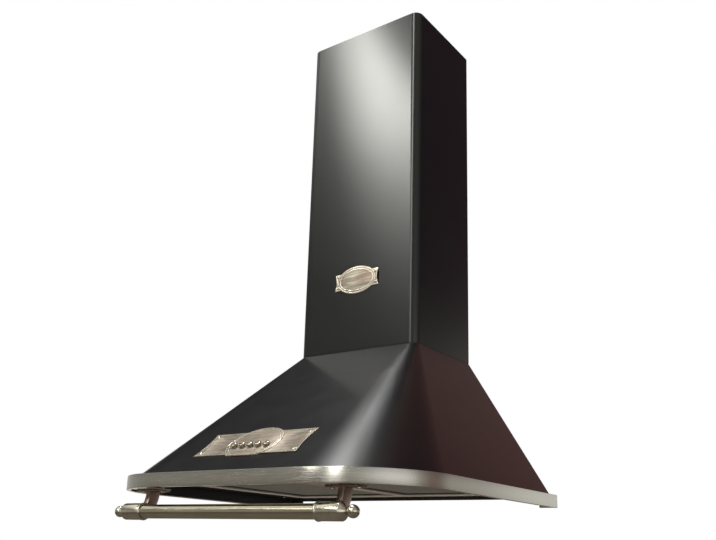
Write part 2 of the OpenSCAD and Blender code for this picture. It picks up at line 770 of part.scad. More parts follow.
module button_places() for (i = [0 : button_count - 1])
    translate([(i - (button_count - 1) / 2) * button_pitch, button_y, 0]) children();

module control_plate() color([0.6, 0.57, 0.5]) placed() on_front() difference() {
    union() {
        linear_extrude(control_sheet) {
            translate([0, control_middle]) hollow_plate(control_width, control_height, end_hollow);
            oval_clipped(oval_half_width, oval_half_height);
        }
        translate([0, 0, control_sheet - 0.1]) linear_extrude(ring_rise + 0.1) {
            difference() {
                oval_clipped(oval_half_width - 1, oval_half_height - 1);
                oval_inside(1 + ring_width);
            }
            difference() {
                oval_clipped(oval_half_width - 5, oval_half_height - 5);
                oval_inside(5 + ring_width);
            }
        }
        button_places() cylinder(r = button_radius + 1, h = control_sheet + 0.4);
    }
    button_places() translate([0, 0, -1]) cylinder(r = stem_radius + sliding_gap, h = control_sheet + 3);
    control_screw_places() translate([0, 0, -1])
        cylinder(r = screw_radius * 0.7 + seat_gap, h = control_sheet + 2);
}

module oval_inside(inset) polygon(oval_points(oval_half_width - inset, oval_half_height - inset, oval_y));

// the oval medallion, cut off a little below the plate's lower edge
module oval_clipped(a, b) intersection() {
    polygon(oval_points(a, b, oval_y));
    translate([-a, control_low - 4]) square([2 * a, 3 * b]);
}

module control_plate_screws() color([0.85, 0.83, 0.78]) placed() on_front() control_screw_places() {
    translate([0, 0, -5]) cylinder(r = screw_radius * 0.7, h = control_sheet + 5.2);
    translate([0, 0, control_sheet]) intersection() {
        cylinder(r = 3, h = 1.8);
        translate([0, 0, -1.6]) sphere(3.4);
    }
}

module switch_box() color([0.15, 0.15, 0.16]) placed() on_front() difference() {
    translate([-switch_width / 2, button_y - switch_height / 2, -switch_depth])
        cube([switch_width, switch_height, switch_depth]);
    button_places() translate([0, 0, -button_travel - 6]) cylinder(r = stem_radius + sliding_gap, h = 20);
}

module button(i) color([0.72, 0.69, 0.62]) placed() on_front()
    translate([(i - (button_count - 1) / 2) * button_pitch, button_y, 0]) rotate_extrude() {
        top = control_sheet + button_height;
        low = control_sheet + 0.4 + sliding_gap + button_travel;
        polygon([
            [0, -5], [stem_radius, -5], [stem_radius, low], [button_radius - 0.4, low],
            [button_radius, low + 0.4], [button_radius, top - 1.6], [button_radius - 0.5, top - 0.7],
            [button_radius - 1.4, top - 0.15], [button_radius - 2.4, top], [0, top]]);
    }

module button_one() button(0);
module button_two() button(1);
module button_three() button(2);
module button_four() button(3);
module button_five() button(4);

module rail_tube() color([0.62, 0.6, 0.53]) placed() translate([0, -rail_y, -rail_drop])
    rotate([0, 90, 0]) difference() {
        length = 2 * (cap_inner + cap_socket - seat_gap);
        cylinder(r = rail_radius, h = length, center = true);
        cylinder(r = rail_radius - rail_wall, h = length + 2, center = true);
    }

// end cap along Z with its inner edge at Z = 0: bead, groove, barrel, short tapered nose
module rail_cap() difference() {
    rotate_extrude() {
        polygon([
            [0, 0], [cap_radius - 0.6, 0], [cap_radius + cap_ridge, 0.9],
            [cap_radius + cap_ridge + 0.2, 2.2], [cap_radius + cap_ridge, 3.5], [cap_radius - 0.5, 4.3],
            [cap_radius - 0.5, 5.2], [cap_radius, 5.8], [cap_radius, cap_length - 0.8],
            [cap_radius - 0.8, cap_length], [cap_radius * 0.74, cap_length + cap_nose * 0.5],
            [ball_neck + 2, cap_length + cap_nose * 0.92], [ball_neck + 1.6, cap_length + cap_nose],
            [0, cap_length + cap_nose]]);
    }
    translate([0, 0, -1]) cylinder(r = rail_radius + seat_gap, h = cap_socket + 1);
    translate([0, 0, cap_length + cap_nose - 8]) cylinder(r = ball_neck - 0.6 + seat_gap, h = 10);
}

module rail_finial() {
    translate([0, 0, cap_length + cap_nose - 7]) cylinder(r = ball_neck - 0.6, h = 8);
    translate([0, 0, cap_length + cap_nose]) cylinder(r = ball_neck, h = 8);
    translate([0, 0, ball_x - cap_inner]) sphere(ball_radius);
}

module rail_end(side) translate([side * cap_inner, -rail_y, -rail_drop]) rotate([0, side * 90, 0]) children();

// places its children on the seat of the arm's screw, with Z pointing back to the wall
module arm_screw_place(side) translate([side * bracket_x, -arm_seat, -rail_drop]) rotate([-90, 0, 0]) children();

module rail_cap_left() color([0.62, 0.6, 0.53]) placed() difference() {
    rail_end(-1) rail_cap();
    arm_screw_place(-1) mirror([0, 0, 1]) cylinder(r = screw_radius + seat_gap, h = arm_screw + 1);
}

module rail_cap_right() color([0.62, 0.6, 0.53]) placed() difference() {
    rail_end(1) rail_cap();
    arm_screw_place(1) mirror([0, 0, 1]) cylinder(r = screw_radius + seat_gap, h = arm_screw + 1);
}

module rail_finial_left() color([0.66, 0.64, 0.57]) placed() rail_end(-1) rail_finial();
module rail_finial_right() color([0.66, 0.64, 0.57]) placed() rail_end(1) rail_finial();

module base_screw_places() for (s = [-1, 1], x = [-1, 1])
    translate([s * bracket_x + x * base_screws / 2, -arm_y, 0]) children();

// side view of the arm in Y and Z: between two equal arcs, hollowed by the cap that it carries
module arm_profile() difference() {
    intersection() {
        translate([-arm_centre, 0]) circle(arm_bend);
        translate([-arm_y - arm_depth * 2, -rail_drop - arm_end])
            square([arm_depth * 4, rail_drop + arm_end - arm_start]);
    }
    translate([-arm_centre - arm_depth, 0]) circle(arm_bend);
    translate([-rail_y, -rail_drop]) circle(cap_radius + seat_gap);
}

// the bracket's arm starts inside its base and curves forward behind the cap
module rail_bracket(side) color([0.5, 0.47, 0.41]) placed() difference() {
    union() {
        translate([side * bracket_x - base_width / 2, -arm_y - base_depth / 2, -base_sheet])
            cube([base_width, base_depth, base_sheet]);
        translate([side * bracket_x - arm_width / 2, 0, 0])
            rotate([90, 0, 90]) linear_extrude(arm_width) arm_profile();
    }
    translate([side * bracket_x, 0, 0]) for (x = [-1, 1])
        translate([x * base_screws / 2, -arm_y, -base_sheet - 1])
            cylinder(r = screw_radius + seat_gap, h = base_sheet + 2);
    arm_screw_place(side) cylinder(r = arm_bore, h = arm_depth);
    arm_screw_place(side) translate([0, 0, -arm_depth]) cylinder(r = screw_radius + seat_gap, h = arm_depth + 1);
}

module rail_bracket_left() rail_bracket(-1);
module rail_bracket_right() rail_bracket(1);

module rail_screws() color([0.7, 0.67, 0.58]) placed() {
    base_screw_places() translate([0, 0, -base_sheet]) mirror([0, 0, 1]) screw(base_sheet + band_sheet + 4);
    for (s = [-1, 1]) arm_screw_place(s) translate([0, 0, 0.1]) screw(arm_screw);
}

// outline of the scroll in Y and Z, from the wall side of the outlet round to its front
function scroll_point(i, extra) =
    let (a = tongue_angle - (180 + tongue_angle) * i / scroll_steps,
        r = scroll_radius + scroll_growth * i / scroll_steps + extra)
    [-shaft_back + r * cos(a), fan_height + r * sin(a)];

function scroll_outline(extra, top) = concat(
    [[-outlet_rear + extra, top]],
    [for (i = [0 : scroll_steps]) scroll_point(i, extra)],
    [[-outlet_front - extra, top]]);

module blower_housing() color([0.55, 0.56, 0.57]) placed() {
    half = scroll_width / 2;
    difference() {
        union() {
            along_x(-half, scroll_width) difference() {
                polygon(scroll_outline(scroll_sheet, cap_bottom));
                polygon(scroll_outline(0, cap_bottom + 1));
            }
            along_x(-half, scroll_sheet) polygon(scroll_outline(scroll_sheet / 2, cap_bottom));
            translate([-collar_flange, -collar_back - collar_flange, cap_bottom - 1.5])
                cube([2 * collar_flange, 2 * collar_flange, 1.5]);
        }
        translate([-half + scroll_sheet, -outlet_front, cap_bottom - 5])
            cube([scroll_width - 2 * scroll_sheet, outlet_front - outlet_rear, 6]);
        translate([-half - 1, -shaft_back, fan_height]) rotate([0, 90, 0])
            cylinder(r = 16, h = scroll_sheet + 2);
        collar_screw_places() translate([0, 0, cap_bottom - 3]) cylinder(r = screw_radius + seat_gap, h = 5);
        motor_screw_places() cylinder(r = screw_radius + seat_gap, h = 20, center = true);
    }
}

module blower_inlet_plate() color([0.6, 0.6, 0.61]) placed() {
    half = scroll_width / 2;
    difference() {
        along_x(half, scroll_sheet) polygon(scroll_outline(scroll_sheet, cap_bottom - 1.5 - seat_gap));
        translate([half - 1, -shaft_back, fan_height]) rotate([0, 90, 0])
            cylinder(r = inlet_radius - 0.5, h = scroll_sheet + 2);
    }
    translate([half, -shaft_back, fan_height]) rotate([0, 90, 0]) rotate_extrude() polygon([
        [inlet_radius - 0.8, 0], [inlet_radius + 0.6, 0], [inlet_radius + 1.6, 2.4], [inlet_radius + 4, 4.6],
        [inlet_radius + 4, 6], [inlet_radius + 2.8, 5.6], [inlet_radius + 0.2, 3.2]]);
}

// stamped guard over the inlet: rings joined by three bars
module inlet_guard() color([0.7, 0.7, 0.7]) placed()
    translate([scroll_width / 2 + 6, -shaft_back, fan_height]) rotate([0, 90, 0]) linear_extrude(1.5) {
        for (r = [inlet_radius * 0.25, inlet_radius * 0.5, inlet_radius * 0.75, inlet_radius + 2.4])
            difference() {
                circle(r + 1.3);
                circle(r - 1.3);
            }
        for (a = [0 : 60 : 120]) rotate(a) square([2 * inlet_radius + 4.8, 2.6], center = true);
    }

module impeller() color([0.2, 0.2, 0.21]) placed() translate([0, -shaft_back, fan_height]) rotate([0, 90, 0])
    translate([0, 0, hub_side]) difference() {
        union() {
            cylinder(r = impeller_radius, h = 2);
            translate([0, 0, 1.8]) linear_extrude(impeller_width - 3) for (i = [0 : blade_count - 1])
                rotate(360 * i / blade_count) translate([impeller_radius - blade_depth * 0.55, 0]) rotate(38)
                    translate([-blade_depth / 2, -blade_sheet / 2]) square([blade_depth, blade_sheet]);
            translate([0, 0, impeller_width - 1.5]) difference() {
                cylinder(r = impeller_radius, h = 1.5);
                translate([0, 0, -1]) cylinder(r = impeller_radius - blade_depth - 1, h = 4);
            }
            cylinder(r = shaft_radius + 9, h = 30);
        }
        translate([0, 0, -1]) cylinder(r = shaft_radius + 0.02, h = 40);
    }

module motor_screw_places() for (a = [90, 210, 330])
    translate([-scroll_width / 2, -shaft_back, fan_height]) rotate([0, 90, 0]) rotate([0, 0, a])
        translate([motor_radius + 6, 0, 0]) children();

module motor() color([0.3, 0.31, 0.33]) placed() difference() {
    translate([-scroll_width / 2, -shaft_back, fan_height]) rotate([0, -90, 0]) {
        cylinder(r = motor_radius + 11, h = 2);
        translate([0, 0, 1.8]) cylinder(r = motor_radius - 3, h = 10);
        translate([0, 0, 8]) cylinder(r = motor_radius, h = motor_length - 16);
        translate([0, 0, motor_length - 8.2]) cylinder(r = motor_radius - 3, h = 6);
        translate([0, 0, motor_length - 2.4]) cylinder(r = 14, h = 6);
    }
    translate([0, -shaft_back, fan_height]) rotate([0, -90, 0])
        cylinder(r = shaft_radius + turning_fit, h = motor_length + 2 * scroll_width);
    motor_screw_places() cylinder(r = screw_radius + seat_gap, h = 20, center = true);
}

module motor_shaft() color([0.75, 0.75, 0.76]) placed() {
    outer = scroll_width / 2 + motor_length + 5;
    inner = impeller_width / 2 - 28;
    translate([-outer, -shaft_back, fan_height]) rotate([0, 90, 0])
        cylinder(r = shaft_radius, h = outer - inner);
}

module motor_screws() color([0.7, 0.7, 0.7]) placed() motor_screw_places()
    translate([0, 0, -2]) rotate([180, 0, 0]) screw(2 + scroll_sheet + 3);

module collar_screw_places() for (x = [-1, 1], y = [-1, 1])
    translate([x * collar_screw, -collar_back + y * collar_screw, 0]) children();

module duct_collar() color([0.6, 0.6, 0.6]) placed() difference() {
    translate([0, -collar_back, cap_top]) {
        difference() {
            translate([-collar_flange, -collar_flange, 0])
                cube([2 * collar_flange, 2 * collar_flange, collar_flange_sheet]);
            translate([0, 0, -1]) cylinder(r = collar_bore, h = 5);
        }
        rotate_extrude($fn = 128) {
            translate([collar_bore, 0]) square([collar_wall, collar_height + collar_flange_sheet]);
            translate([collar_bore - 3, rod_z - cap_top - flap_sheet / 2 - sliding_gap - 1.5])
                square([3.5, 1.5]);
        }
    }
    collar_screw_places() translate([0, 0, cap_top - 1])
        cylinder(r = screw_radius + seat_gap, h = collar_flange_sheet + 2);
    translate([-collar_radius - 1, -collar_back, rod_z]) rotate([0, 90, 0])
        cylinder(r = rod_radius + turning_fit, h = 2 * collar_radius + 2);
}

module collar_screws() color([0.7, 0.7, 0.7]) placed() collar_screw_places()
    translate([0, 0, collar_base]) screw(collar_flange_sheet + seam_step + cap_sheet + 4);

module flap_rod() color([0.8, 0.8, 0.8]) placed() translate([0, -collar_back, rod_z]) rotate([0, 90, 0])
    cylinder(r = rod_radius, h = 2 * collar_radius - 0.6, center = true);

// half disc hinged on the rod; knuckles are pairs of tubes at plus and minus the named distance
module flap(side, knuckle) color([0.5, 0.5, 0.5]) placed() translate([0, -collar_back, rod_z]) difference() {
    union() {
        translate([0, 0, -flap_sheet / 2]) linear_extrude(flap_sheet) intersection() {
            circle(flap_radius, $fn = 128);
            translate([-flap_radius, side > 0 ? flap_edge : -flap_radius])
                square([2 * flap_radius, flap_radius - flap_edge]);
        }
        for (x = [-1, 1]) translate([x * knuckle, 0, 0]) {
            rotate([0, 90, 0]) cylinder(r = knuckle_radius, h = 14, center = true);
            translate([-7, side > 0 ? 0.5 : -flap_edge - 2, -flap_sheet / 2])
                cube([14, flap_edge + 1.5, flap_sheet]);
        }
    }
    rotate([0, 90, 0]) cylinder(r = rod_radius + turning_fit, h = 4 * collar_radius, center = true);
}

module flap_front() flap(-1, 24);
module flap_rear() flap(1, 44);

module terminal_box() color([0.25, 0.25, 0.26]) placed() difference() {
    translate([terminal_side, -back_sheet - terminal_depth, bolt_low + 12])
        cube([terminal_width, terminal_depth, terminal_height]);
    translate([terminal_side + 2, -back_sheet - terminal_depth + 2, bolt_low + 14])
        cube([terminal_width - 4, terminal_depth - 4, terminal_height - 4]);
    translate([terminal_side + terminal_width / 2, -back_sheet - terminal_depth / 2,
        bolt_low + terminal_height]) cylinder(r = gland_bore + 2 + seat_gap, h = 20);
}

module cable_gland() color([0.1, 0.1, 0.1]) placed()
    translate([terminal_side + terminal_width / 2, -back_sheet - terminal_depth / 2,
        bolt_low + 12 + terminal_height]) difference() {
        union() {
            translate([0, 0, -8]) cylinder(r = gland_bore + 2, h = 9);
            cylinder(r = gland_bore + 5.5, h = 6, $fn = 6);
            translate([0, 0, 5.8]) cylinder(r = gland_bore + 4, h = 9);
            translate([0, 0, -6.6]) cylinder(r = gland_bore + 5, h = 4.4, $fn = 6);
        }
        translate([0, 0, -10]) cylinder(r = gland_bore, h = 40);
    }

module capacitor() color([0.85, 0.85, 0.82]) placed() {
    z = bolt_low + 20;
    translate([-terminal_side - 30, -back_sheet - capacitor_radius - 3, z])
        cylinder(r = capacitor_radius, h = capacitor_length);
    translate([-terminal_side - 30 - capacitor_radius - 4, -back_sheet - 3.5, z + 18])
        cube([2 * capacitor_radius + 8, 3.5, 14]);
    translate([-terminal_side - 30, -back_sheet - capacitor_radius - 3, z + 18])
        cylinder(r = capacitor_radius + 1.5, h = 14);
    for (x = [-6, 6]) translate([-terminal_side - 30.5 + x, -back_sheet - capacitor_radius - 6,
        z + capacitor_length - 0.2]) cube([1, 6, 8]);
}

canopy_shell();
back_panel();
trim_band();
rail_tabs();
underside_pan();
chimney_cover();
upper_chimney();
chimney_bracket();
bracket_screws();
cover_screws();
pan_screws();
collar_screws();
name_plate();
name_plate_rivets();
control_plate();
control_plate_screws();
switch_box();
button_one();
button_two();
button_three();
button_four();
button_five();
rail_tube();
rail_cap_left();
rail_cap_right();
rail_finial_left();
rail_finial_right();
rail_bracket_left();
rail_bracket_right();
rail_screws();
blower_housing();
blower_inlet_plate();
inlet_guard();
impeller();
motor();
motor_shaft();
motor_screws();
duct_collar();
flap_rod();
flap_front();
flap_rear();
lamp_housing_left();
lamp_housing_right();
lamp_lens_left();
lamp_lens_right();
lamp_module_left();
lamp_module_right();
filter_frame_left();
filter_frame_right();
filter_mesh_left();
filter_mesh_right();
filter_latch_left();
filter_latch_right();
terminal_box();
capacitor();
cable_gland();
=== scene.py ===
# A black wall hood with a steel band and a hanging rail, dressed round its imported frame.
import json
import math
import bpy
from mathutils import Matrix, Vector


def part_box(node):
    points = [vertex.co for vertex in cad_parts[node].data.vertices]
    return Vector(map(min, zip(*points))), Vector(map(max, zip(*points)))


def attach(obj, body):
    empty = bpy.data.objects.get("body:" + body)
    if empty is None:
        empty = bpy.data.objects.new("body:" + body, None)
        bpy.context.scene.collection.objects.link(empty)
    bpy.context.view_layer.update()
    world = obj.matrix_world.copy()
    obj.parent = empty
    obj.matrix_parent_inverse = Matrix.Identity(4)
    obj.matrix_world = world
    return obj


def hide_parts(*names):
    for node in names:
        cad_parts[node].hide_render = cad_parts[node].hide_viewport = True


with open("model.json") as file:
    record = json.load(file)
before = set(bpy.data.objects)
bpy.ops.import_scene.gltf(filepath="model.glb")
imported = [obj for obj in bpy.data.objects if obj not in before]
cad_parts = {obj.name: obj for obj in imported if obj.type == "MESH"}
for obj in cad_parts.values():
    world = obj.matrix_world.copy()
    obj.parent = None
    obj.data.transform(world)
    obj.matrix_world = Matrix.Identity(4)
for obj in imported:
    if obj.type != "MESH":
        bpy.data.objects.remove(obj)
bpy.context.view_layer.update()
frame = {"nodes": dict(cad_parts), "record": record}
print("frame loaded:", len(frame["nodes"]), "nodes")

mm = 0.001
originHeight = 145  # the frame is stored from the middle of the wall bolts, this far above the band's bottom
seatGap = 0.02  # a dressed piece stays this far off the surface that it lies on
hood = {"width": 600, "depth": 530, "bandHeight": 22, "footInset": 13, "footCorner": 145, "footEdge": 0.4,
        "neckWidth": 260, "neckDepth": 200, "neckCorner": 16, "neckHeight": 274, "seamStep": 1.2}
frontRun = hood["depth"] - hood["footInset"] - hood["neckDepth"]
frontRise = hood["neckHeight"] - hood["bandHeight"] - hood["footEdge"]
frontAngle = math.atan2(frontRise, frontRun)
cutter = {"low": -5, "high": 8, "above": 2, "reach": 60}  # what cuts a plate goes past its faces and edges


def hexColour(text):  # an sRGB hex value as linear red, green, blue and full alpha
    channels = [int(text[i:i + 2], 16) / 255 for i in (1, 3, 5)]
    return (*[c / 12.92 if c <= 0.04045 else ((c + 0.055) / 1.055) ** 2.4 for c in channels], 1)


def addNode(tree, kind, inputs=None, **settings):  # an input is a value or another node's socket
    node = tree.nodes.new(kind)
    for name, value in settings.items():
        setattr(node, name, value)
    for name, value in (inputs or {}).items():
        if isinstance(value, bpy.types.NodeSocket):
            tree.links.new(value, node.inputs[name])
        else:
            node.inputs[name].default_value = value
    return node


def newMaterial(name):
    material = bpy.data.materials.new(name)
    material.use_nodes = True
    tree = material.node_tree
    tree.nodes.clear()
    return material, tree


def deselectAll():
    if bpy.context.object and bpy.context.object.mode != "OBJECT":
        bpy.ops.object.mode_set(mode="OBJECT")
    for obj in bpy.context.selected_objects:
        obj.select_set(False)


def pick(obj):  # makes obj the only selected one
    deselectAll()
    obj.select_set(True)
    bpy.context.view_layer.objects.active = obj


def editSelect(obj, mode, test):  # enters edit mode with the elements that pass the test selected
    pick(obj)
    bpy.ops.object.mode_set(mode="EDIT")
    bpy.ops.mesh.select_all(action="DESELECT")
    bpy.ops.mesh.select_mode(type=mode)
    bpy.ops.object.mode_set(mode="OBJECT")
    data = obj.data
    group = {"VERT": data.vertices, "EDGE": data.edges, "FACE": data.polygons}[mode]
    for item in group:
        item.select = bool(test(item))
    bpy.ops.object.mode_set(mode="EDIT")


def endEdit():
    bpy.ops.object.mode_set(mode="OBJECT")


def edgeMiddle(obj, edge):
    a, b = (obj.data.vertices[i].co for i in edge.vertices)
    return (a + b) / 2


def applyModifiers(obj):
    pick(obj)
    for modifier in list(obj.modifiers):
        bpy.ops.object.modifier_apply(modifier=modifier.name)


def joinPieces(name, pieces):
    deselectAll()
    for piece in pieces:
        piece.select_set(True)
    bpy.context.view_layer.objects.active = pieces[0]
    if len(pieces) > 1:
        bpy.ops.object.join()
    pieces[0].name = pieces[0].data.name = name
    return pieces[0]


def smoothShade(obj, degrees=35):
    pick(obj)
    bpy.ops.object.shade_smooth_by_angle(angle=math.radians(degrees))


def settle(obj):  # puts the piece's place into its mesh
    pick(obj)
    bpy.ops.object.transform_apply(location=True, rotation=True, scale=True)


def dress(obj, body, slot, material, *nodes):  # body, slot (not used), material and the nodes that it stands for
    if not obj.data.materials:
        obj.data.materials.append(material)
    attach(obj, body)
    if nodes:
        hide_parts(*nodes)


def addCube(low, high, base=originHeight):  # a box between two corners in mm, whose heights start at base
    middle = [(a + b) / 2 * mm for a, b in zip(low, high)]
    middle[2] -= base * mm
    deselectAll()
    bpy.ops.mesh.primitive_cube_add(size=1, location=middle)
    box = bpy.context.object
    box.scale = [(b - a) * mm for a, b in zip(low, high)]
    settle(box)
    return box


def addOval(halfWidth, halfHeight, low, high, x=0, y=0, segments=96):
    # an upright oval block in a plate's frame
    deselectAll()
    bpy.ops.mesh.primitive_cylinder_add(vertices=segments, radius=1, depth=1,
                                        location=(x * mm, y * mm, (low + high) / 2 * mm))
    block = bpy.context.object
    block.scale = (halfWidth * mm, halfHeight * mm, (high - low) * mm)
    settle(block)
    return block


def addRod(radius, length, turned, height, back, segments):  # a round bar, turned in degrees about X, Y and Z
    deselectAll()
    bpy.ops.mesh.primitive_cylinder_add(
        vertices=segments, radius=radius * mm, depth=length * mm, rotation=[math.radians(v) for v in turned],
        location=(0, -back * mm, (height - originHeight) * mm))
    rod = bpy.context.object
    settle(rod)
    return rod


def addOutline(width, depth, corner, height, segments, past=0):
    # a flat plan with round front corners, which starts at the wall or runs past it
    deselectAll()
    bpy.ops.mesh.primitive_plane_add(
        size=1, location=(0, (past - depth) / 2 * mm, (height - originHeight) * mm))
    plan = bpy.context.object
    plan.scale = (width * mm, (depth + past) * mm, 1)
    settle(plan)
    editSelect(plan, "VERT", lambda v: v.co.y < -depth / 2 * mm)
    bpy.ops.mesh.bevel(
        offset=corner * mm, offset_type="OFFSET", segments=segments, profile=0.5, affect="VERTICES")
    endEdit()
    return plan


def addLedge(width, depth, corner, height, reach, sheet, segments):
    # a flat U-shaped ledge that ends at the wall
    ledge = addOutline(width, depth, corner, height, segments, cutter["reach"])
    editSelect(ledge, "FACE", lambda f: True)
    bpy.ops.mesh.inset(thickness=reach * mm)
    bpy.ops.mesh.delete(type="FACE")
    bpy.ops.mesh.select_all(action="SELECT")
    bpy.ops.mesh.bisect(plane_co=(0, 0, 0), plane_no=(0, 1, 0), clear_outer=True)
    endEdit()
    thick = ledge.modifiers.new("sheet", "SOLIDIFY")
    thick.thickness, thick.offset = sheet * mm, 1
    applyModifiers(ledge)
    return ledge


def combine(obj, other, operation):  # other is joined to the piece or cut out of it, and used up
    step = obj.modifiers.new("shape", "BOOLEAN")
    step.object, step.operation, step.solver = other, operation, "EXACT"
    applyModifiers(obj)
    bpy.data.objects.remove(other)
    return obj


def roundEdges(obj, size, segments=2, degrees=40):
    edge = obj.modifiers.new("edges", "BEVEL")
    edge.width, edge.segments = size * mm, segments
    edge.limit_method, edge.angle_limit = "ANGLE", math.radians(degrees)
    applyModifiers(obj)
    return obj


def turnPiece(name, profile, segments):  # a piece turned about Z, from (radius, height) steps in millimetres
    radius, height = profile[0]
    deselectAll()
    bpy.ops.mesh.primitive_circle_add(vertices=segments, radius=radius * mm, fill_type="NGON",
                                      location=(0, 0, height * mm))
    piece = bpy.context.object
    settle(piece)
    bpy.ops.object.mode_set(mode="EDIT")
    bpy.ops.mesh.select_all(action="SELECT")
    for nextRadius, nextHeight in profile[1:]:
        bpy.ops.mesh.extrude_region_move(TRANSFORM_OT_translate={"value": (0, 0, (nextHeight - height) * mm)})
        bpy.ops.transform.resize(value=(nextRadius / radius, nextRadius / radius, 1),
                                 center_override=(0, 0, nextHeight * mm))
        radius, height = nextRadius, nextHeight
    bpy.ops.mesh.select_all(action="SELECT")
    bpy.ops.mesh.normals_make_consistent(inside=False)
    endEdit()
    piece.name = piece.data.name = name
    return piece


def copyPiece(obj, name):
    twin = obj.copy()
    twin.data = obj.data.copy()
    twin.name = twin.data.name = name
    bpy.context.scene.collection.objects.link(twin)
    return twin


def moveTo(obj, place):  # takes the piece to its place, which then lies in its mesh
    obj.matrix_world = place
    settle(obj)
    return obj


def onFront(x, rise, lift=0):  # a place on the sloping front: across, up the slope and out of it
    height = hood["bandHeight"] + hood["footEdge"] - originHeight
    foot = Vector((0, -(hood["depth"] - hood["footInset"]), height)) * mm
    return Matrix.Translation(foot) @ Matrix.Rotation(frontAngle, 4, "X") @ Matrix.Translation(
        Vector((x, rise, lift)) * mm)


def onCover(x, rise, lift=0):  # a place on the front of the chimney cover
    seam = Vector((0, -hood["neckDepth"], hood["neckHeight"] + hood["seamStep"] - originHeight)) * mm
    return Matrix.Translation(seam) @ Matrix.Rotation(math.radians(90), 4, "X") @ Matrix.Translation(
        Vector((x, rise, lift)) * mm)


def extrudeUp(obj, height):
    editSelect(obj, "FACE", lambda f: True)
    bpy.ops.mesh.extrude_region_move(TRANSFORM_OT_translate={"value": (0, 0, height * mm)})
    bpy.ops.mesh.select_all(action="SELECT")
    bpy.ops.mesh.normals_make_consistent(inside=False)
    endEdit()


def objectCoords(tree, scale=(1, 1, 1)):  # object coordinates: a larger scale makes a finer pattern
    coords = addNode(tree, "ShaderNodeTexCoord")
    return addNode(tree, "ShaderNodeMapping", {"Vector": coords.outputs["Object"], "Scale": scale}).outputs[0]


def perMetre(millimetres):  # how many features of this size fit in a metre
    return 1000 / millimetres


def noiseValue(tree, scale, detail=2, roughness=0.5):
    noise = addNode(tree, "ShaderNodeTexNoise", {
        "Vector": objectCoords(tree, scale), "Scale": 1, "Detail": detail, "Roughness": roughness})
    return noise.outputs["Fac"]


def mapValue(tree, value, low, high, fromLow=0.3, fromHigh=0.7):
    return addNode(tree, "ShaderNodeMapRange", {
        "Value": value, "From Min": fromLow, "From Max": fromHigh,
        "To Min": low, "To Max": high}).outputs["Result"]


def mixColours(tree, factor, a, b):
    mix = addNode(tree, "ShaderNodeMix", data_type="RGBA")
    tree.links.new(factor, mix.inputs["Factor"])
    mix.inputs[6].default_value = hexColour(a)
    mix.inputs[7].default_value = hexColour(b)
    return mix.outputs[2]


def bumpFrom(tree, height, distance, strength=1):
    return addNode(tree, "ShaderNodeBump", {
        "Height": height, "Distance": distance, "Strength": strength}).outputs["Normal"]


def finish(tree, inputs):
    shader = addNode(tree, "ShaderNodeBsdfPrincipled", inputs)
    addNode(tree, "ShaderNodeOutputMaterial", {"Surface": shader.outputs[0]})


def stoveEnamel():
    # stove enamel on sheet steel, sprayed and baked: a deep black, its soft gloss under a thin glassy skin
    material, tree = newMaterial("sprayedStoveEnamel")
    peel = noiseValue(tree, (perMetre(3),) * 3, 2)  # orange peel of about 1 mm, drawn at 3 mm to show
    sheet = noiseValue(tree, (perMetre(160),) * 3, 1)  # the sheet's own slow waves
    dust = noiseValue(tree, (perMetre(45),) * 3, 4, 0.6)
    soft = bumpFrom(tree, sheet, 0.0004, 0.5)
    fine = addNode(tree, "ShaderNodeBump", {
        "Height": peel, "Distance": 0.00001, "Strength": 0.3, "Normal": soft})
    finish(tree, {
        "Base Color": mixColours(tree, dust, "#08080a", "#0e0e10"),
        "Roughness": mapValue(tree, dust, 0.31, 0.35), "IOR": 1.5, "Specular IOR Level": 0.24,
        "Coat Weight": 0.7, "Coat Roughness": 0.13,
        "Normal": fine.outputs["Normal"], "Coat Normal": fine.outputs["Normal"]})
    return material


def brushedMetal(name, light, dark, along, roughness, anisotropic, axis, metallic=1):
    # a wrought metal with fine parallel scratches: along is a scratch's size in mm on X, Y and Z
    material, tree = newMaterial(name)
    scratches = noiseValue(tree, [perMetre(v) for v in along], 3, 0.6)
    patches = mapValue(tree, noiseValue(tree, (perMetre(60),) * 3, 2, 0.5), 0.42, 0.58)
    shift = addNode(tree, "ShaderNodeMath", {0: scratches, 1: patches}, operation="ADD").outputs[0]
    tangent = addNode(tree, "ShaderNodeTangent", direction_type="RADIAL", axis=axis)
    finish(tree, {
        "Base Color": mixColours(tree, mapValue(tree, shift, 0, 1, 0.75, 1.25), dark, light),
        "Metallic": metallic,
        "Roughness": mapValue(tree, shift, roughness - 0.05, roughness + 0.06, 0.75, 1.25),
        "Anisotropic": anisotropic, "Anisotropic Rotation": 0.25, "Tangent": tangent.outputs["Tangent"],
        "Normal": bumpFrom(tree, scratches, 0.00002, 0.6)})
    return material


def agedNickel(name, light, dark, stain, roughness, metallic):
    # old nickel plate on a stamped sheet: its film makes it half matt, pale where rubbed and brown where dull
    material, tree = newMaterial(name)
    rub = noiseValue(tree, (perMetre(30), perMetre(2.5), perMetre(2.5)), 3, 0.6)
    cloud = noiseValue(tree, (perMetre(26),) * 3, 3, 0.6)
    speck = noiseValue(tree, (perMetre(1.6),) * 3, 2, 0.7)
    base = addNode(tree, "ShaderNodeMix", {
        0: mapValue(tree, cloud, 0, 0.55, 0.42, 0.7),
        6: mixColours(tree, mapValue(tree, rub, 0, 1), dark, light), 7: hexColour(stain)}, data_type="RGBA")
    finish(tree, {
        "Base Color": base.outputs[2], "Metallic": metallic,
        "Roughness": mapValue(tree, cloud, roughness - 0.05, roughness + 0.1),
        "Normal": bumpFrom(tree, speck, 0.00004, 0.4)})
    return material


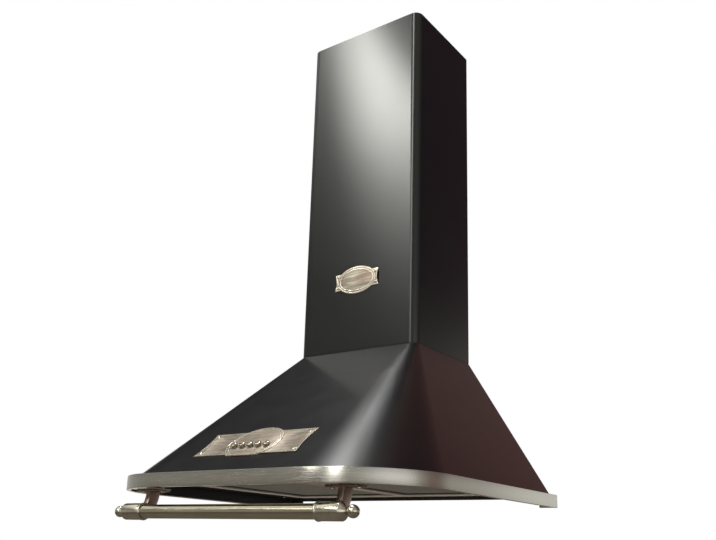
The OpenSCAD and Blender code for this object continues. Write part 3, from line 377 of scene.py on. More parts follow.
def plainSurface(name, light, dark, roughness, metallic=0, grain=2.0, bump=0.00003):
    # moulded or painted surface: two close shades and a fine grain of the given size in mm
    material, tree = newMaterial(name)
    texture = noiseValue(tree, (perMetre(grain),) * 3, 3, 0.6)
    patches = noiseValue(tree, (perMetre(50),) * 3, 3, 0.55)
    finish(tree, {
        "Base Color": mixColours(tree, patches, dark, light), "Metallic": metallic, "IOR": 1.5,
        "Roughness": mapValue(tree, texture, roughness - 0.05, roughness + 0.06),
        "Normal": bumpFrom(tree, texture, bump, 0.5)})
    return material


def zincSpangle():
    # hot-dip galvanised sheet: frosty crystal patches some 12 mm across
    material, tree = newMaterial("galvanisedSheet")
    cells = addNode(tree, "ShaderNodeTexVoronoi", {
        "Vector": objectCoords(tree), "Scale": perMetre(12)}, feature="F1")
    grey = addNode(tree, "ShaderNodeRGBToBW", {"Color": cells.outputs["Color"]}).outputs[0]
    finish(tree, {
        "Base Color": mixColours(tree, grey, "#8d9297", "#b5babd"), "Metallic": 1,
        "Roughness": mapValue(tree, grey, 0.32, 0.5, 0.1, 0.9),
        "Normal": bumpFrom(tree, grey, 0.00005, 0.3)})
    return material


def frostedGlass():
    # sandblasted glass: light passes, shapes behind it blur
    material, tree = newMaterial("frostedGlass")
    grit = noiseValue(tree, (perMetre(0.9),) * 3, 2)
    finish(tree, {
        "Base Color": hexColour("#e9eee8"), "Roughness": mapValue(tree, grit, 0.38, 0.5), "IOR": 1.5,
        "Transmission Weight": 0.75, "Normal": bumpFrom(tree, grit, 0.00003, 0.5)})
    return material


enamel = stoveEnamel()
bandSteel = brushedMetal("brushedStainlessBand", "#cbc8c1", "#b4b0a8", (60, 60, 1.2), 0.24, 0.8, "Z")
panSteel = brushedMetal("brushedStainlessPan", "#d6ccbf", "#b8a899", (1.6, 90, 90), 0.42, 0.5, "Z", 0.55)
railNickel = brushedMetal("brushedNickelTube", "#cfc9b5", "#b2aa96", (90, 1.4, 1.4), 0.22, 0.6, "X")
turnedNickel = brushedMetal("turnedNickel", "#d8d2c2", "#b8b0a0", (1.1, 14, 14), 0.2, 0.4, "X")
strapNickel = brushedMetal("rolledNickelStrap", "#a8958a", "#7a675e", (1.2, 40, 40), 0.3, 0.3, "X")
plateNickel = agedNickel("agedNickelPlate", "#c4bbab", "#857a6b", "#7c6356", 0.38, 0.76)
crestNickel = agedNickel("rubbedNickelCrest", "#f0eadb", "#cfc7b3", "#b9ab99", 0.28, 0.8)
buttonNickel = brushedMetal("turnedNickelButton", "#cfc8b8", "#aaa08f", (6, 6, 1), 0.2, 0.2, "Z")
screwNickel = plainSurface("polishedNickelScrew", "#cdc8bb", "#a9a294", 0.2, 1, 1.5)
# the back plate's real dark paint, which also stands as painted shade inside the band's strip and on its upper
# ledge
backPaintAndPaintedShade = plainSurface("powderCoatedBackAndPaintedShade", "#100f0f", "#0a0a0a", 0.55, 0, 1.2, 0.00006)
galvanised = zincSpangle()
motorPaint = plainSurface("hammeredMotorPaint", "#4a4c50", "#36383b", 0.42, 0, 3, 0.00012)
shaftSteel = brushedMetal("groundShaftSteel", "#c8c9cb", "#a9abad", (0.9, 10, 10), 0.2, 0.3, "X")
fanPlastic = plainSurface("mouldedFanPolypropylene", "#2c2c2f", "#222225", 0.48, 0, 1.5)
filterAluminium = plainSurface("satinFilterAluminium", "#c9c9c7", "#adadab", 0.36, 1, 1.2)
lensGlass = frostedGlass()
ledBoard = plainSurface("ledBoardWhite", "#efe9cf", "#e0d8b4", 0.4, 0, 2)
darkPlastic = plainSurface("mouldedDarkPolyamide", "#1f1f22", "#151517", 0.5, 0, 1.2)
capacitorShell = plainSurface("mouldedWhiteCapacitor", "#dcdcd6", "#cfcfc8", 0.38, 0, 2.5)
print("materials made")

slotMaterials = {
    "black_enamel": enamel, "back_paint": backPaintAndPaintedShade, "band_steel": bandSteel, "pan_steel": panSteel,
    "rail_nickel": turnedNickel, "aged_nickel": plateNickel, "bright_screw": screwNickel,
    "galvanised_steel": galvanised, "motor_paint": motorPaint, "shaft_steel": shaftSteel,
    "impeller_plastic": fanPlastic, "filter_aluminium": filterAluminium, "lens_glass": lensGlass,
    "lamp_white": ledBoard, "dark_plastic": darkPlastic, "capacitor_plastic": capacitorShell}
for part in frame["record"]["subparts"]:  # every node of the frame gets the finish of its slot
    node = frame["nodes"].get(part["node"])
    if node:
        node.data.materials.clear()
        node.data.materials.append(slotMaterials[part["material_slot"]])
frame["nodes"]["rail_tube"].data.materials[0] = railNickel

view = {"x": 858.205, "y": -1396.116, "z": -89.523, "yaw": 0.64790, "pitch": 0.26119, "roll": 0.03634,
        "focal": 41.21, "sensor": 36, "shiftX": 0.0321, "shiftY": 0.0894}  # where the photograph was taken from
lookAt = Vector((-math.sin(view["yaw"]) * math.cos(view["pitch"]),
                 math.cos(view["yaw"]) * math.cos(view["pitch"]), math.sin(view["pitch"])))
level = Vector((math.cos(view["yaw"]), math.sin(view["yaw"]), 0))
above = level.cross(lookAt)
right = level * math.cos(view["roll"]) + above * math.sin(view["roll"])
upward = above * math.cos(view["roll"]) - level * math.sin(view["roll"])
cameraData = bpy.data.cameras.new("photoView")
cameraData.lens, cameraData.sensor_width = view["focal"], view["sensor"]
cameraData.shift_x, cameraData.shift_y = view["shiftX"], view["shiftY"]
cameraData.clip_start, cameraData.clip_end = 0.05, 60
camera = bpy.data.objects.new("photoView", cameraData)
turn = Matrix((right, upward, -lookAt)).transposed().to_4x4()
camera.matrix_world = Matrix.Translation(
    Vector((view["x"], view["y"], view["z"] - originHeight)) * mm) @ turn
bpy.context.scene.collection.objects.link(camera)
bpy.context.scene.camera = camera
bpy.context.scene.view_settings.view_transform = "Standard"


def direction(azimuth, elevation):  # azimuth 0 is in front of the hood and 90 on its right
    a, e = math.radians(azimuth), math.radians(elevation)
    return Vector((math.sin(a) * math.cos(e), -math.cos(a) * math.cos(e), math.sin(e)))


lightTarget = Vector((0, -200, 250)) * mm  # about the middle of the hood, which every lamp faces


def softLight(name, azimuth, elevation, distance, width, height, power, mirrored=False):
    lamp = bpy.data.lights.new(name, "AREA")
    lamp.shape, lamp.size, lamp.size_y = "RECTANGLE", width, height
    lamp.energy = power
    lampObject = bpy.data.objects.new(name, lamp)
    aim = direction(azimuth, elevation)
    lampObject.location = lightTarget + aim * distance
    lampObject.rotation_euler = aim.to_track_quat("Z", "Y").to_euler()
    lampObject.visible_camera = False
    lampObject.visible_glossy = mirrored  # the rest of the room that metal mirrors is in the world
    bpy.context.scene.collection.objects.link(lampObject)


softLight("keySoftbox", -45, 42, 5.0, 2.3, 2.2, 150)
softLight("overheadSoftbox", -80, 74, 4.0, 0.9, 0.9, 105, True)
softLight("rightFill", 70, 20, 5.0, 2.4, 2.0, 45)
softLight("lowFill", 30, -20, 4.0, 1.6, 1.0, 30)
print("lights set")

studio = {"strength": 1.5, "lowEdge": 0.12, "highEdge": 0.32, "floorEdge": -0.03, "floorDeep": -0.16,
          "floorShade": "#5c554c", "farEdge": -0.14, "farDeep": -0.3, "diffuse": "#b0b0ae",
          "lampTint": (1, 1, 0.94)}
lowRing = [  # what polished metal mirrors just above the horizon, by azimuth
    (-180, "#c1c1bc"), (-165, "#989691"), (-149, "#5c4034"), (-141, "#957a68"), (-134, "#c4bcb0"),
    (-110, "#9a9a96"), (-60, "#8a8a84"), (-36, "#86837b"), (-25, "#7c7b74"), (-12, "#868680"),
    (-4, "#d4d4ce"), (3, "#ffffff"), (10, "#e0e0da"), (18, "#a2a29c"), (34, "#c0c0ba"), (50, "#ececee"),
    (64, "#ffffff"), (82, "#ffffff"), (91, "#e4e4de"), (101, "#a29f9a"), (115, "#7c6b62"), (128, "#7c7068"),
    (140, "#98948e"), (155, "#a7a5a0"), (165, "#c7c7c2"), (180, "#c1c1bc")]
highRing = [  # and higher up, where the studio is dark and warm on the right
    (-180, "#64524d"), (-150, "#2c2c2b"), (-110, "#262625"), (-60, "#60605d"), (0, "#74746f"),
    (60, "#9e9e98"), (110, "#6c6862"), (140, "#342a2e"), (151, "#30262e"), (165, "#523231"), (175, "#684a46"),
    (180, "#64524d")]
behindRing = [(-165, "#000000"), (-155, "#ffffff"), (-120, "#ffffff"), (-110, "#000000")]  # the floor starts lower
panels = [  # lit panels: where each fades in and out by azimuth, how its sides lean, and how it brightens upward
    {"edges": (-41.8, -31.8, -27.5, -20.5), "lean": (0.5, 2.2), "bright": 21.5, "rise": [
        (0.17, "#000000"), (0.265, "#0c0c0c"), (0.3, "#1c1c1c"), (0.334, "#3a3a3a"), (0.367, "#525252"),
        (0.39, "#626262"), (0.411, "#7c7c7c"), (0.431, "#949494"), (0.454, "#b4b4b4"), (0.475, "#d6d6d6"),
        (0.495, "#ececec"), (0.514, "#fafafa"), (0.54, "#ffffff"), (0.62, "#ffffff"), (0.7, "#c0c0c0"),
        (0.82, "#000000")]},
    {"edges": (-6, 0, 7, 12), "lean": (0, 0), "bright": 9, "rise": [
        (0.1, "#000000"), (0.29, "#9a9a9a"), (0.5, "#ffffff"), (0.76, "#ffffff"), (0.82, "#000000")]},
    {"edges": (-104, -90, -54, -45), "lean": (0, 0), "bright": 1.1, "rise": [
        (0.3, "#000000"), (0.42, "#707070"), (0.6, "#e8e8e8"), (0.68, "#ffffff"), (0.82, "#ffffff"),
        (0.9, "#000000")]}]
streak = {"bright": 1.7, "round": [  # a long lamp high on the left, which dims in its middle
    (-165, "#000000"), (-153, "#8c8c8a"), (-145, "#c8c8c5"), (-139, "#d8d8d5"), (-134, "#a4a4a2"),
    (-129, "#a8a8a6"), (-123, "#f4f4f1"), (-116, "#ffffff"), (-109, "#c0c0be"), (-98, "#000000")], "rise": [
        (0.68, "#000000"), (0.78, "#303030"), (0.84, "#606060"), (0.885, "#b8b8b8"), (0.912, "#ffffff"),
        (0.94, "#ffffff"), (0.96, "#a8a8a8"), (0.975, "#404040"), (0.99, "#000000")]}


def addRamp(tree, value, stops):
    ramp = addNode(tree, "ShaderNodeValToRGB", {"Fac": value})
    elements = ramp.color_ramp.elements
    while len(elements) < len(stops):
        elements.new(0.5)
    for element, (place, shade) in zip(elements, stops):
        element.position = place
        element.color = hexColour(shade)
    return ramp.outputs["Color"]


def addRing(tree, share, stops):
    return addRamp(tree, share, [((angle + 180) / 360, shade) for angle, shade in stops])


def addFade(tree, value, start, end):  # a smooth rise from 0 to 1
    return addNode(tree, "ShaderNodeMapRange", {"Value": value, "From Min": start, "From Max": end},
                   interpolation_type="SMOOTHSTEP").outputs["Result"]


def product(tree, a, b):
    return addNode(tree, "ShaderNodeMath", {0: a, 1: b}, operation="MULTIPLY").outputs[0]


def addPanel(tree, azimuth, height, panel):
    start, full, fade, end = [math.radians(v) for v in panel["edges"]]
    left, right = [addNode(tree, "ShaderNodeMath", {0: height, 1: lean, 2: azimuth},
                           operation="MULTIPLY_ADD").outputs[0] for lean in panel["lean"]]
    shift = [lean * 0.5 for lean in panel["lean"]]  # each side leans about a point half way up
    across = product(tree, addFade(tree, left, start + shift[0], full + shift[0]),
                     addFade(tree, right, end + shift[1], fade + shift[1]))
    shade = product(tree, across, addRamp(tree, height, panel["rise"]))
    return product(tree, shade, panel["bright"])


def shinyRay(tree, path):  # 1 for what metal, enamel and glass see of the room
    return addNode(tree, "ShaderNodeMath", {
        0: path.outputs["Is Glossy Ray"], 1: path.outputs["Is Transmission Ray"]},
        operation="MAXIMUM").outputs[0]


def studioWorld():
    # white to the eye; metal and enamel mirror the same plain room with its lamps turned low
    world = bpy.data.worlds.new("studio")
    world.use_nodes = True
    tree = world.node_tree
    tree.nodes.clear()
    path = addNode(tree, "ShaderNodeLightPath")
    toward = addNode(tree, "ShaderNodeTexCoord").outputs["Generated"]
    heading = addNode(tree, "ShaderNodeSeparateXYZ", {"Vector": toward})
    height = heading.outputs["Z"]
    turned = product(tree, heading.outputs["Y"], -1)
    azimuth = addNode(tree, "ShaderNodeMath", {0: heading.outputs["X"], 1: turned},
                      operation="ARCTAN2").outputs[0]
    share = addNode(tree, "ShaderNodeMapRange", {
        "Value": azimuth, "From Min": -math.pi, "From Max": math.pi}).outputs["Result"]
    room = addNode(tree, "ShaderNodeMix", {
        0: addFade(tree, height, studio["lowEdge"], studio["highEdge"]), 6: addRing(tree, share, lowRing),
        7: addRing(tree, share, highRing)}, data_type="RGBA").outputs[2]
    near = addFade(tree, height, studio["floorEdge"], studio["floorDeep"])
    far = addFade(tree, height, studio["farEdge"], studio["farDeep"])
    behind = addRing(tree, share, behindRing)
    depth = addNode(tree, "ShaderNodeMix", {0: behind, 2: near, 3: far}, data_type="FLOAT").outputs[0]
    grounded = addNode(tree, "ShaderNodeMix", {0: depth, 6: room, 7: hexColour(studio["floorShade"])},
                       data_type="RGBA").outputs[2]
    glow = product(tree, addRing(tree, share, streak["round"]), addRamp(tree, height, streak["rise"]))
    glow = product(tree, glow, streak["bright"])
    for panel in panels:
        glow = addNode(tree, "ShaderNodeMath", {0: glow, 1: addPanel(tree, azimuth, height, panel)},
                       operation="ADD").outputs[0]
    scaled = addNode(tree, "ShaderNodeVectorMath", {0: grounded, "Scale": studio["strength"]},
                     operation="SCALE").outputs[0]
    warm = addNode(tree, "ShaderNodeVectorMath", {0: studio["lampTint"], "Scale": glow},
                   operation="SCALE").outputs[0]
    mirrored = addNode(tree, "ShaderNodeVectorMath", {0: scaled, 1: warm}, operation="ADD").outputs[0]
    shiny = shinyRay(tree, path)
    first = addNode(tree, "ShaderNodeMix", {0: shiny, 6: hexColour(studio["diffuse"]), 7: mirrored},
                    data_type="RGBA")
    second = addNode(tree, "ShaderNodeMix", {
        0: path.outputs["Is Camera Ray"], 6: first.outputs[2], 7: (1, 1, 1, 1)}, data_type="RGBA")
    background = addNode(tree, "ShaderNodeBackground", {"Color": second.outputs[2], "Strength": 1})
    addNode(tree, "ShaderNodeOutputWorld", {"Surface": background.outputs[0]})
    bpy.context.scene.world = world


studioWorld()

# the real floor, as far below as such a hood hangs above it
floor = {"height": -1750, "size": 12, "colour": "#f4f3f0", "mirrored": "#6e6860", "glow": 0.45}
deselectAll()
bpy.ops.mesh.primitive_plane_add(size=floor["size"], location=(0, 0, floor["height"] * mm))
floorPlane = bpy.context.object
floorPlane.name = "studioFloor"
floorMaterial, floorTree = newMaterial("paleMattFloor")
floorPath = addNode(floorTree, "ShaderNodeLightPath")
finish(floorTree, {
    "Base Color": mixColours(floorTree, shinyRay(floorTree, floorPath), floor["colour"], floor["mirrored"]),
    "Roughness": 0.9, "Specular IOR Level": 0.1, "Emission Color": (1, 1, 1, 1),
    "Emission Strength": product(floorTree, floorPath.outputs["Is Camera Ray"], floor["glow"])})
floorPlane.data.materials.append(floorMaterial)
print("studio made")

canopy = {"wall": 1.8, "segments": 28, "flange": 15, "footFlange": 9.8, "footFlangeInset": 1, "sheet": 1.5,
          "cap": 1.2, "capInset": 0.5, "ductRadius": 73, "ductBack": 105, "ductCut": 10,
          "stripFront": 2.7, "stripBack": 1.2, "stripLow": 0.3, "stripTop": 1.3, "stripLean": 0.994}


def makeCanopy():
    footWidth, footDepth = hood["width"] - 2 * hood["footInset"], hood["depth"] - hood["footInset"]
    foot = addOutline(footWidth, footDepth, hood["footCorner"], hood["bandHeight"], canopy["segments"])
    neck = addOutline(hood["neckWidth"], hood["neckDepth"], hood["neckCorner"], hood["neckHeight"],
                      canopy["segments"])
    shell = joinPieces("canopySkin", [foot, neck])
    editSelect(shell, "FACE", lambda f: True)
    bpy.ops.mesh.delete(type="ONLY_FACE")
    bpy.ops.mesh.select_mode(type="EDGE")
    bpy.ops.mesh.select_all(action="SELECT")
    bpy.ops.mesh.bridge_edge_loops()
    bpy.ops.mesh.select_all(action="SELECT")
    bpy.ops.mesh.normals_make_consistent(inside=False)
    endEdit()
    editSelect(shell, "FACE", lambda f: f.normal.y > 0.99)  # the wall side stays open
    bpy.ops.mesh.delete(type="FACE")
    endEdit()
    thick = shell.modifiers.new("sheet", "SOLIDIFY")
    thick.thickness, thick.offset, thick.use_even_offset = canopy["wall"] * mm, -1, True
    applyModifiers(shell)
    inset, top = canopy["capInset"], hood["neckHeight"] - originHeight
    cap = addOutline(hood["neckWidth"] - 2 * inset, hood["neckDepth"] - inset, hood["neckCorner"] - inset,
                     hood["neckHeight"] - canopy["cap"], canopy["segments"])
    extrudeUp(cap, hood["seamStep"] + canopy["cap"])
    combine(cap, addOval(canopy["ductRadius"], canopy["ductRadius"], top - canopy["ductCut"],
                         top + canopy["ductCut"], y=-canopy["ductBack"]), "DIFFERENCE")
    pieces = [shell, cap]
    inset = canopy["footFlangeInset"]
    lean = (hood["neckWidth"] - footWidth) / 2 * canopy["stripLean"]
    for side in (-1, 1):  # a folded strip closes each side against the wall
        inner, outer = sorted((side * (footWidth / 2 - canopy["flange"]), side * (footWidth / 2 - inset)))
        strip = addCube((inner, -canopy["stripFront"], hood["bandHeight"] + canopy["stripLow"]),
                        (outer, -canopy["stripBack"], hood["neckHeight"] - canopy["stripTop"]))
        editSelect(strip, "FACE", lambda f: f.normal.z > 0.9)
        bpy.ops.transform.translate(value=(side * lean * mm, 0, 0))
        endEdit()
        pieces.append(strip)
    pieces.append(addLedge(footWidth - 2 * inset, footDepth - inset, hood["footCorner"] - inset,
                           hood["bandHeight"] + seatGap, canopy["footFlange"], canopy["sheet"],
                           canopy["segments"]))
    body = joinPieces("canopySkin", pieces)
    smoothShade(body, 30)
    dress(body, "hood", "black_enamel", enamel, "canopy_shell")


makeCanopy()
print("canopy made")

cover = {"height": 673, "sheet": 1.2, "flange": 15, "lugLength": 18, "lugWidth": 24, "segments": 12}


def makeCover():
    base = hood["neckHeight"] + hood["seamStep"]
    shell = addOutline(hood["neckWidth"], hood["neckDepth"], hood["neckCorner"], base, cover["segments"])
    extrudeUp(shell, cover["height"])
    editSelect(shell, "FACE", lambda f: abs(f.normal.z) > 0.9 or f.normal.y > 0.9)
    bpy.ops.mesh.delete(type="FACE")
    endEdit()
    for side in (-1, 1):
        editSelect(shell, "EDGE", lambda e: edgeMiddle(shell, e).y > -0.01 * mm
                   and edgeMiddle(shell, e).x * side > 0
                   and abs(edgeMiddle(shell, e).z - (base + cover["height"] / 2 - originHeight) * mm) < 0.01)
        bpy.ops.mesh.extrude_region_move(
            TRANSFORM_OT_translate={"value": (-side * cover["flange"] * mm, 0, 0)})
        endEdit()
    editSelect(shell, "FACE", lambda f: True)
    bpy.ops.mesh.normals_make_consistent(inside=False)
    endEdit()
    thick = shell.modifiers.new("sheet", "SOLIDIFY")
    thick.thickness, thick.offset, thick.use_even_offset = cover["sheet"] * mm, -1, True
    applyModifiers(shell)
    pieces = [shell]
    for side in (-1, 1):  # the lugs that are screwed to the canopy's cap
        outer = hood["neckWidth"] / 2 - cover["sheet"] / 2
        inner = hood["neckWidth"] / 2 - cover["sheet"] - cover["lugLength"]
        low, high = sorted((side * inner, side * outer))
        middle = hood["neckDepth"] / 2
        pieces.append(addCube((low, -middle - cover["lugWidth"] / 2, base),
                              (high, -middle + cover["lugWidth"] / 2, base + cover["sheet"])))
    body = joinPieces("chimneyCoverSkin", pieces)
    smoothShade(body, 30)
    dress(body, "hood", "black_enamel", enamel, "chimney_cover")


makeCover()
print("chimney cover made")

band = {"corner": 150, "sheet": 1.5, "ledge": 31.25, "lip": 6.25, "inset": 0.75, "stripWidth": 32,
        "stripShort": 0.2, "edge": 0.4, "segments": 32}


def makeBand():
    wall = addOutline(hood["width"], hood["depth"], band["corner"], 0, band["segments"])
    extrudeUp(wall, hood["bandHeight"])
    editSelect(wall, "FACE", lambda f: abs(f.normal.z) > 0.9 or f.normal.y > 0.9)
    bpy.ops.mesh.delete(type="FACE")
    endEdit()
    thick = wall.modifiers.new("sheet", "SOLIDIFY")
    thick.thickness, thick.offset, thick.use_even_offset = band["sheet"] * mm, -1, True
    thick.material_offset = 1  # the inside of the strip takes the dark back paint as painted shade
    wall.data.materials.append(bandSteel)
    wall.data.materials.append(backPaintAndPaintedShade)
    applyModifiers(wall)
    roundEdges(wall, band["edge"], 3, 60)
    inset = band["inset"]
    ledge = addLedge(hood["width"] - 2 * inset, hood["depth"] - inset, band["corner"] - inset,
                     hood["bandHeight"] - band["sheet"], band["ledge"], band["sheet"], band["segments"])
    lip = addLedge(hood["width"] - 2 * inset, hood["depth"] - inset, band["corner"] - inset,
                   0, band["lip"], band["sheet"], band["segments"])
    pieces = [wall, ledge, lip]
    # the upper ledge inside the band takes the dark back paint as painted shade
    ledge.data.materials.append(backPaintAndPaintedShade)
    lip.data.materials.append(bandSteel)
    for side in (-1, 1):
        outer = hood["width"] / 2 - inset
        low, high = sorted((side * (outer - band["stripWidth"]), side * outer))
        strip = addCube((low, -band["sheet"], band["stripShort"]),
                        (high, -seatGap, hood["bandHeight"] - band["stripShort"]))
        strip.data.materials.append(bandSteel)
        pieces.append(strip)
    body = joinPieces("trimBandSkin", pieces)
    smoothShade(body, 30)
    dress(body, "hood", "band_steel", bandSteel, "trim_band")


makeBand()
print("trim band made")

rail = {"back": 515, "drop": 36.5, "capInner": 173, "socket": 11.9, "tubeRadius": 10.85, "ballCentre": 58,
        "ballRadius": 9, "neck": 3.4, "neckStart": 48.5, "ballSteps": 24, "ballTop": 86, "segments": 64}
capProfile = [  # (radius, distance from the cap's inner edge): socket, bead, groove, barrel, cone
    (rail["tubeRadius"], rail["socket"]), (rail["tubeRadius"], 0.3), (11.2, 0), (12.4, 0), (13.2, 0.5),
    (13.6, 1.2), (13.7, 2.2), (13.6, 3.2), (13.2, 3.9), (12.6, 4.3), (12.35, 4.7), (12.6, 5.2), (12.9, 5.5),
    (13, 6), (13, 41), (12.85, 41.6), (12.5, 42), (11.6, 43.2), (9.6, 45.2), (7.6, 46.6), (5.6, 47.8), (5, 48.45)]


def railEnd(side):  # from the middle of an end cap's inner edge outward
    start = Vector((side * rail["capInner"], -rail["back"], -rail["drop"] - originHeight)) * mm
    return Matrix.Translation(start) @ Matrix.Rotation(side * math.radians(90), 4, "Y")


def makeRailEnds():
    cap = turnPiece("railCapRight", capProfile, rail["segments"])
    smoothShade(cap, 40)
    ball = [(rail["neck"], rail["neckStart"])]
    start = math.acos(rail["neck"] / rail["ballRadius"])
    for step in range(rail["ballSteps"] + 1):
        angle = -start + (start + math.radians(rail["ballTop"])) * step / rail["ballSteps"]
        ball.append((rail["ballRadius"] * math.cos(angle),
                     rail["ballCentre"] + rail["ballRadius"] * math.sin(angle)))
    finial = turnPiece("railFinialRight", ball, rail["segments"])
    smoothShade(finial, 40)
    for side, name in ((-1, "Left"), (1, "Right")):
        for title, node, piece in (("railCap", "rail_cap_", cap), ("railFinial", "rail_finial_", finial)):
            twin = moveTo(copyPiece(piece, title + name + "Turned"), railEnd(side))
            dress(twin, "hood", "rail_nickel", turnedNickel, node + name.lower())
    bpy.data.objects.remove(cap)
    bpy.data.objects.remove(finial)


makeRailEnds()
print("rail ends made")

bracket = {"middle": 194, "baseWidth": 56, "baseDepth": 22, "baseSheet": 3, "baseBack": 482, "armWidth": 10,
           "armDepth": 20, "bend": 55, "top": -1.5, "low": -45.5, "steps": 22, "saddle": 13.1, "saddleCut": 30,
           "screwBore": 4, "screwBack": 484, "screwCut": 12, "baseEdge": 0.7, "armEdge": 0.5}


def makeBracket(side, name):
    half, reach = bracket["baseWidth"] / 2, bracket["baseDepth"] / 2
    base = addCube((-half, -bracket["baseBack"] - reach, -bracket["baseSheet"]),
                   (half, -bracket["baseBack"] + reach, -seatGap))
    roundEdges(base, bracket["baseEdge"])
    front, back = [-bracket["baseBack"] + part * bracket["armDepth"] / 2 for part in (-1, 1)]
    stride = (bracket["top"] - bracket["low"]) / bracket["steps"]
    arm = addCube((-bracket["armWidth"] / 2, front, bracket["top"] - stride),
                  (bracket["armWidth"] / 2, back, bracket["top"]))
    height = bracket["top"] - stride
    editSelect(arm, "FACE", lambda f: f.normal.z < -0.9)
    for _ in range(bracket["steps"] - 1):  # the arm follows an arc down to the rail
        lower = height - stride
        lean = math.sqrt(bracket["bend"] ** 2 - height ** 2) - math.sqrt(bracket["bend"] ** 2 - lower ** 2)
        bpy.ops.mesh.extrude_region_move(TRANSFORM_OT_translate={"value": (0, -lean * mm, -stride * mm)})
        height = lower
    endEdit()
    combine(arm, addRod(bracket["saddle"], bracket["saddleCut"], (0, 90, 0), -rail["drop"], rail["back"], 96),
            "DIFFERENCE")
    combine(arm, addRod(bracket["screwBore"], bracket["screwCut"], (90, 0, 0), -rail["drop"],
                        bracket["screwBack"], 32), "DIFFERENCE")
    roundEdges(arm, bracket["armEdge"], 2, 50)
    piece = joinPieces(name, [base, arm])
    smoothShade(piece, 35)
    moveTo(piece, Matrix.Translation((side * bracket["middle"] * mm, 0, 0)))
    dress(piece, "hood", "rail_nickel", strapNickel, "rail_bracket_" + ("left" if side < 0 else "right"))


makeBracket(-1, "railBracketLeftStrap")
makeBracket(1, "railBracketRightStrap")
print("rail brackets made")

slot = {"width": 0.7, "depth": 0.6}


def cutSlot(screw, top, radius):  # the driver slot across a screw's head
    return combine(screw, addCube((-radius, -slot["width"] / 2, top - slot["depth"]),
                                  (radius, slot["width"] / 2, top + 1), 0), "DIFFERENCE")


def hollowEnds(width, height, hollow):  # two upright cylinders that cut a plate's ends to a shallow curve
    radius = (height ** 2 / 4 + hollow ** 2) / (2 * hollow)
    middle = width / 2 - hollow + radius
    ends = [addOval(radius, radius, cutter["low"], cutter["high"], side * middle, height / 2, 360)
            for side in (-1, 1)]
    return joinPieces("ends", ends)


def lowerField(plate, obj, seats):  # sinks the plate inside a narrow border, and leaves seats for its screws
    width, height, border = plate["width"], plate["height"], plate["border"]
    field = addCube((border - width / 2, border, plate["sheet"] - plate["sink"]),
                    (width / 2 - border, height - border, plate["sheet"] + cutter["above"]), 0)
    combine(field, hollowEnds(width - 2 * border, height, plate["hollow"]), "DIFFERENCE")
    for x, y in seats:
        combine(field, addOval(plate["seat"], plate["seat"], cutter["low"], cutter["high"], x, y, 32),
                "DIFFERENCE")
    return combine(obj, field, "DIFFERENCE")


def paintBorder(plate, obj, middle, play=0.3):  # the raised border is rubbed bright, the field and the oval not
    obj.data.materials.append(plateNickel)
    obj.data.materials.append(crestNickel)
    for face in obj.data.polygons:
        x, y, z = [v / mm for v in face.center]
        across, along = x / (plate["ovalWidth"] + play), (y - middle) / (plate["ovalHeight"] + play)
        if across ** 2 + along ** 2 > 1 and plate["sheet"] - 0.9 * plate["sink"] < z < plate["sheet"] + 0.05:
            face.material_index = 1


def ovalRing(plate, inset, middle):  # a raised ring inside the oval's edge
    a, b = plate["ovalWidth"] - inset, plate["ovalHeight"] - inset
    low, high = plate["sheet"] - 0.2, plate["sheet"] + plate["ringRise"]
    ring = addOval(a, b, low, high, 0, middle, 128)
    combine(ring, addOval(a - plate["ringWidth"], b - plate["ringWidth"], low - 1, high + 1, 0, middle, 128),
            "DIFFERENCE")
    return ring


controls = {"width": 210, "height": 65, "low": 44, "sheet": 1.6, "hollow": 4, "edge": 0.2,
            "ovalWidth": 52, "ovalHeight": 45, "ovalRise": 32, "ovalBelow": 4, "rings": (1, 5), "ringWidth": 2,
            "ringRise": 0.8, "ringShort": 0.4, "ringEdge": 0.35, "pitch": 16.5, "buttonRise": 22.5,
            "bossRadius": 6.6, "bossFoot": 0.5, "bossRise": 0.4, "boreRadius": 4.3, "markRise": 9.2,
            "markSize": 8.5, "markDepth": 0.4, "dotRadius": 1.1, "dotEdge": 0.12, "screwX": 95, "screwY": 24.5,
            "border": 2.2, "sink": 0.5, "seat": 4.4}
marks = ["", "1", "2", "3", "4"]  # plain numbers for the speeds, and a dot for the lamp


def addMark(text, x, y):
    if not text:
        dot = addOval(controls["dotRadius"], controls["dotRadius"], controls["sheet"] - 0.1,
                      controls["sheet"] + controls["markDepth"], x, y, 24)
        return roundEdges(dot, controls["dotEdge"])
    deselectAll()
    bpy.ops.object.text_add()
    figure = bpy.context.object
    figure.data.body, figure.data.size = text, controls["markSize"] * mm
    figure.data.align_x, figure.data.align_y = "CENTER", "CENTER"
    figure.data.extrude, figure.data.resolution_u = controls["markDepth"] * mm, 4
    bpy.ops.object.convert(target="MESH")
    return moveTo(bpy.context.object, Matrix.Translation(Vector((x, y, controls["sheet"])) * mm))


def hollowPlate(plate):  # the flat plate with its hollow ends
    flat = addCube((-plate["width"] / 2, 0, seatGap), (plate["width"] / 2, plate["height"], plate["sheet"]), 0)
    return combine(flat, hollowEnds(plate["width"], plate["height"], plate["hollow"]), "DIFFERENCE")


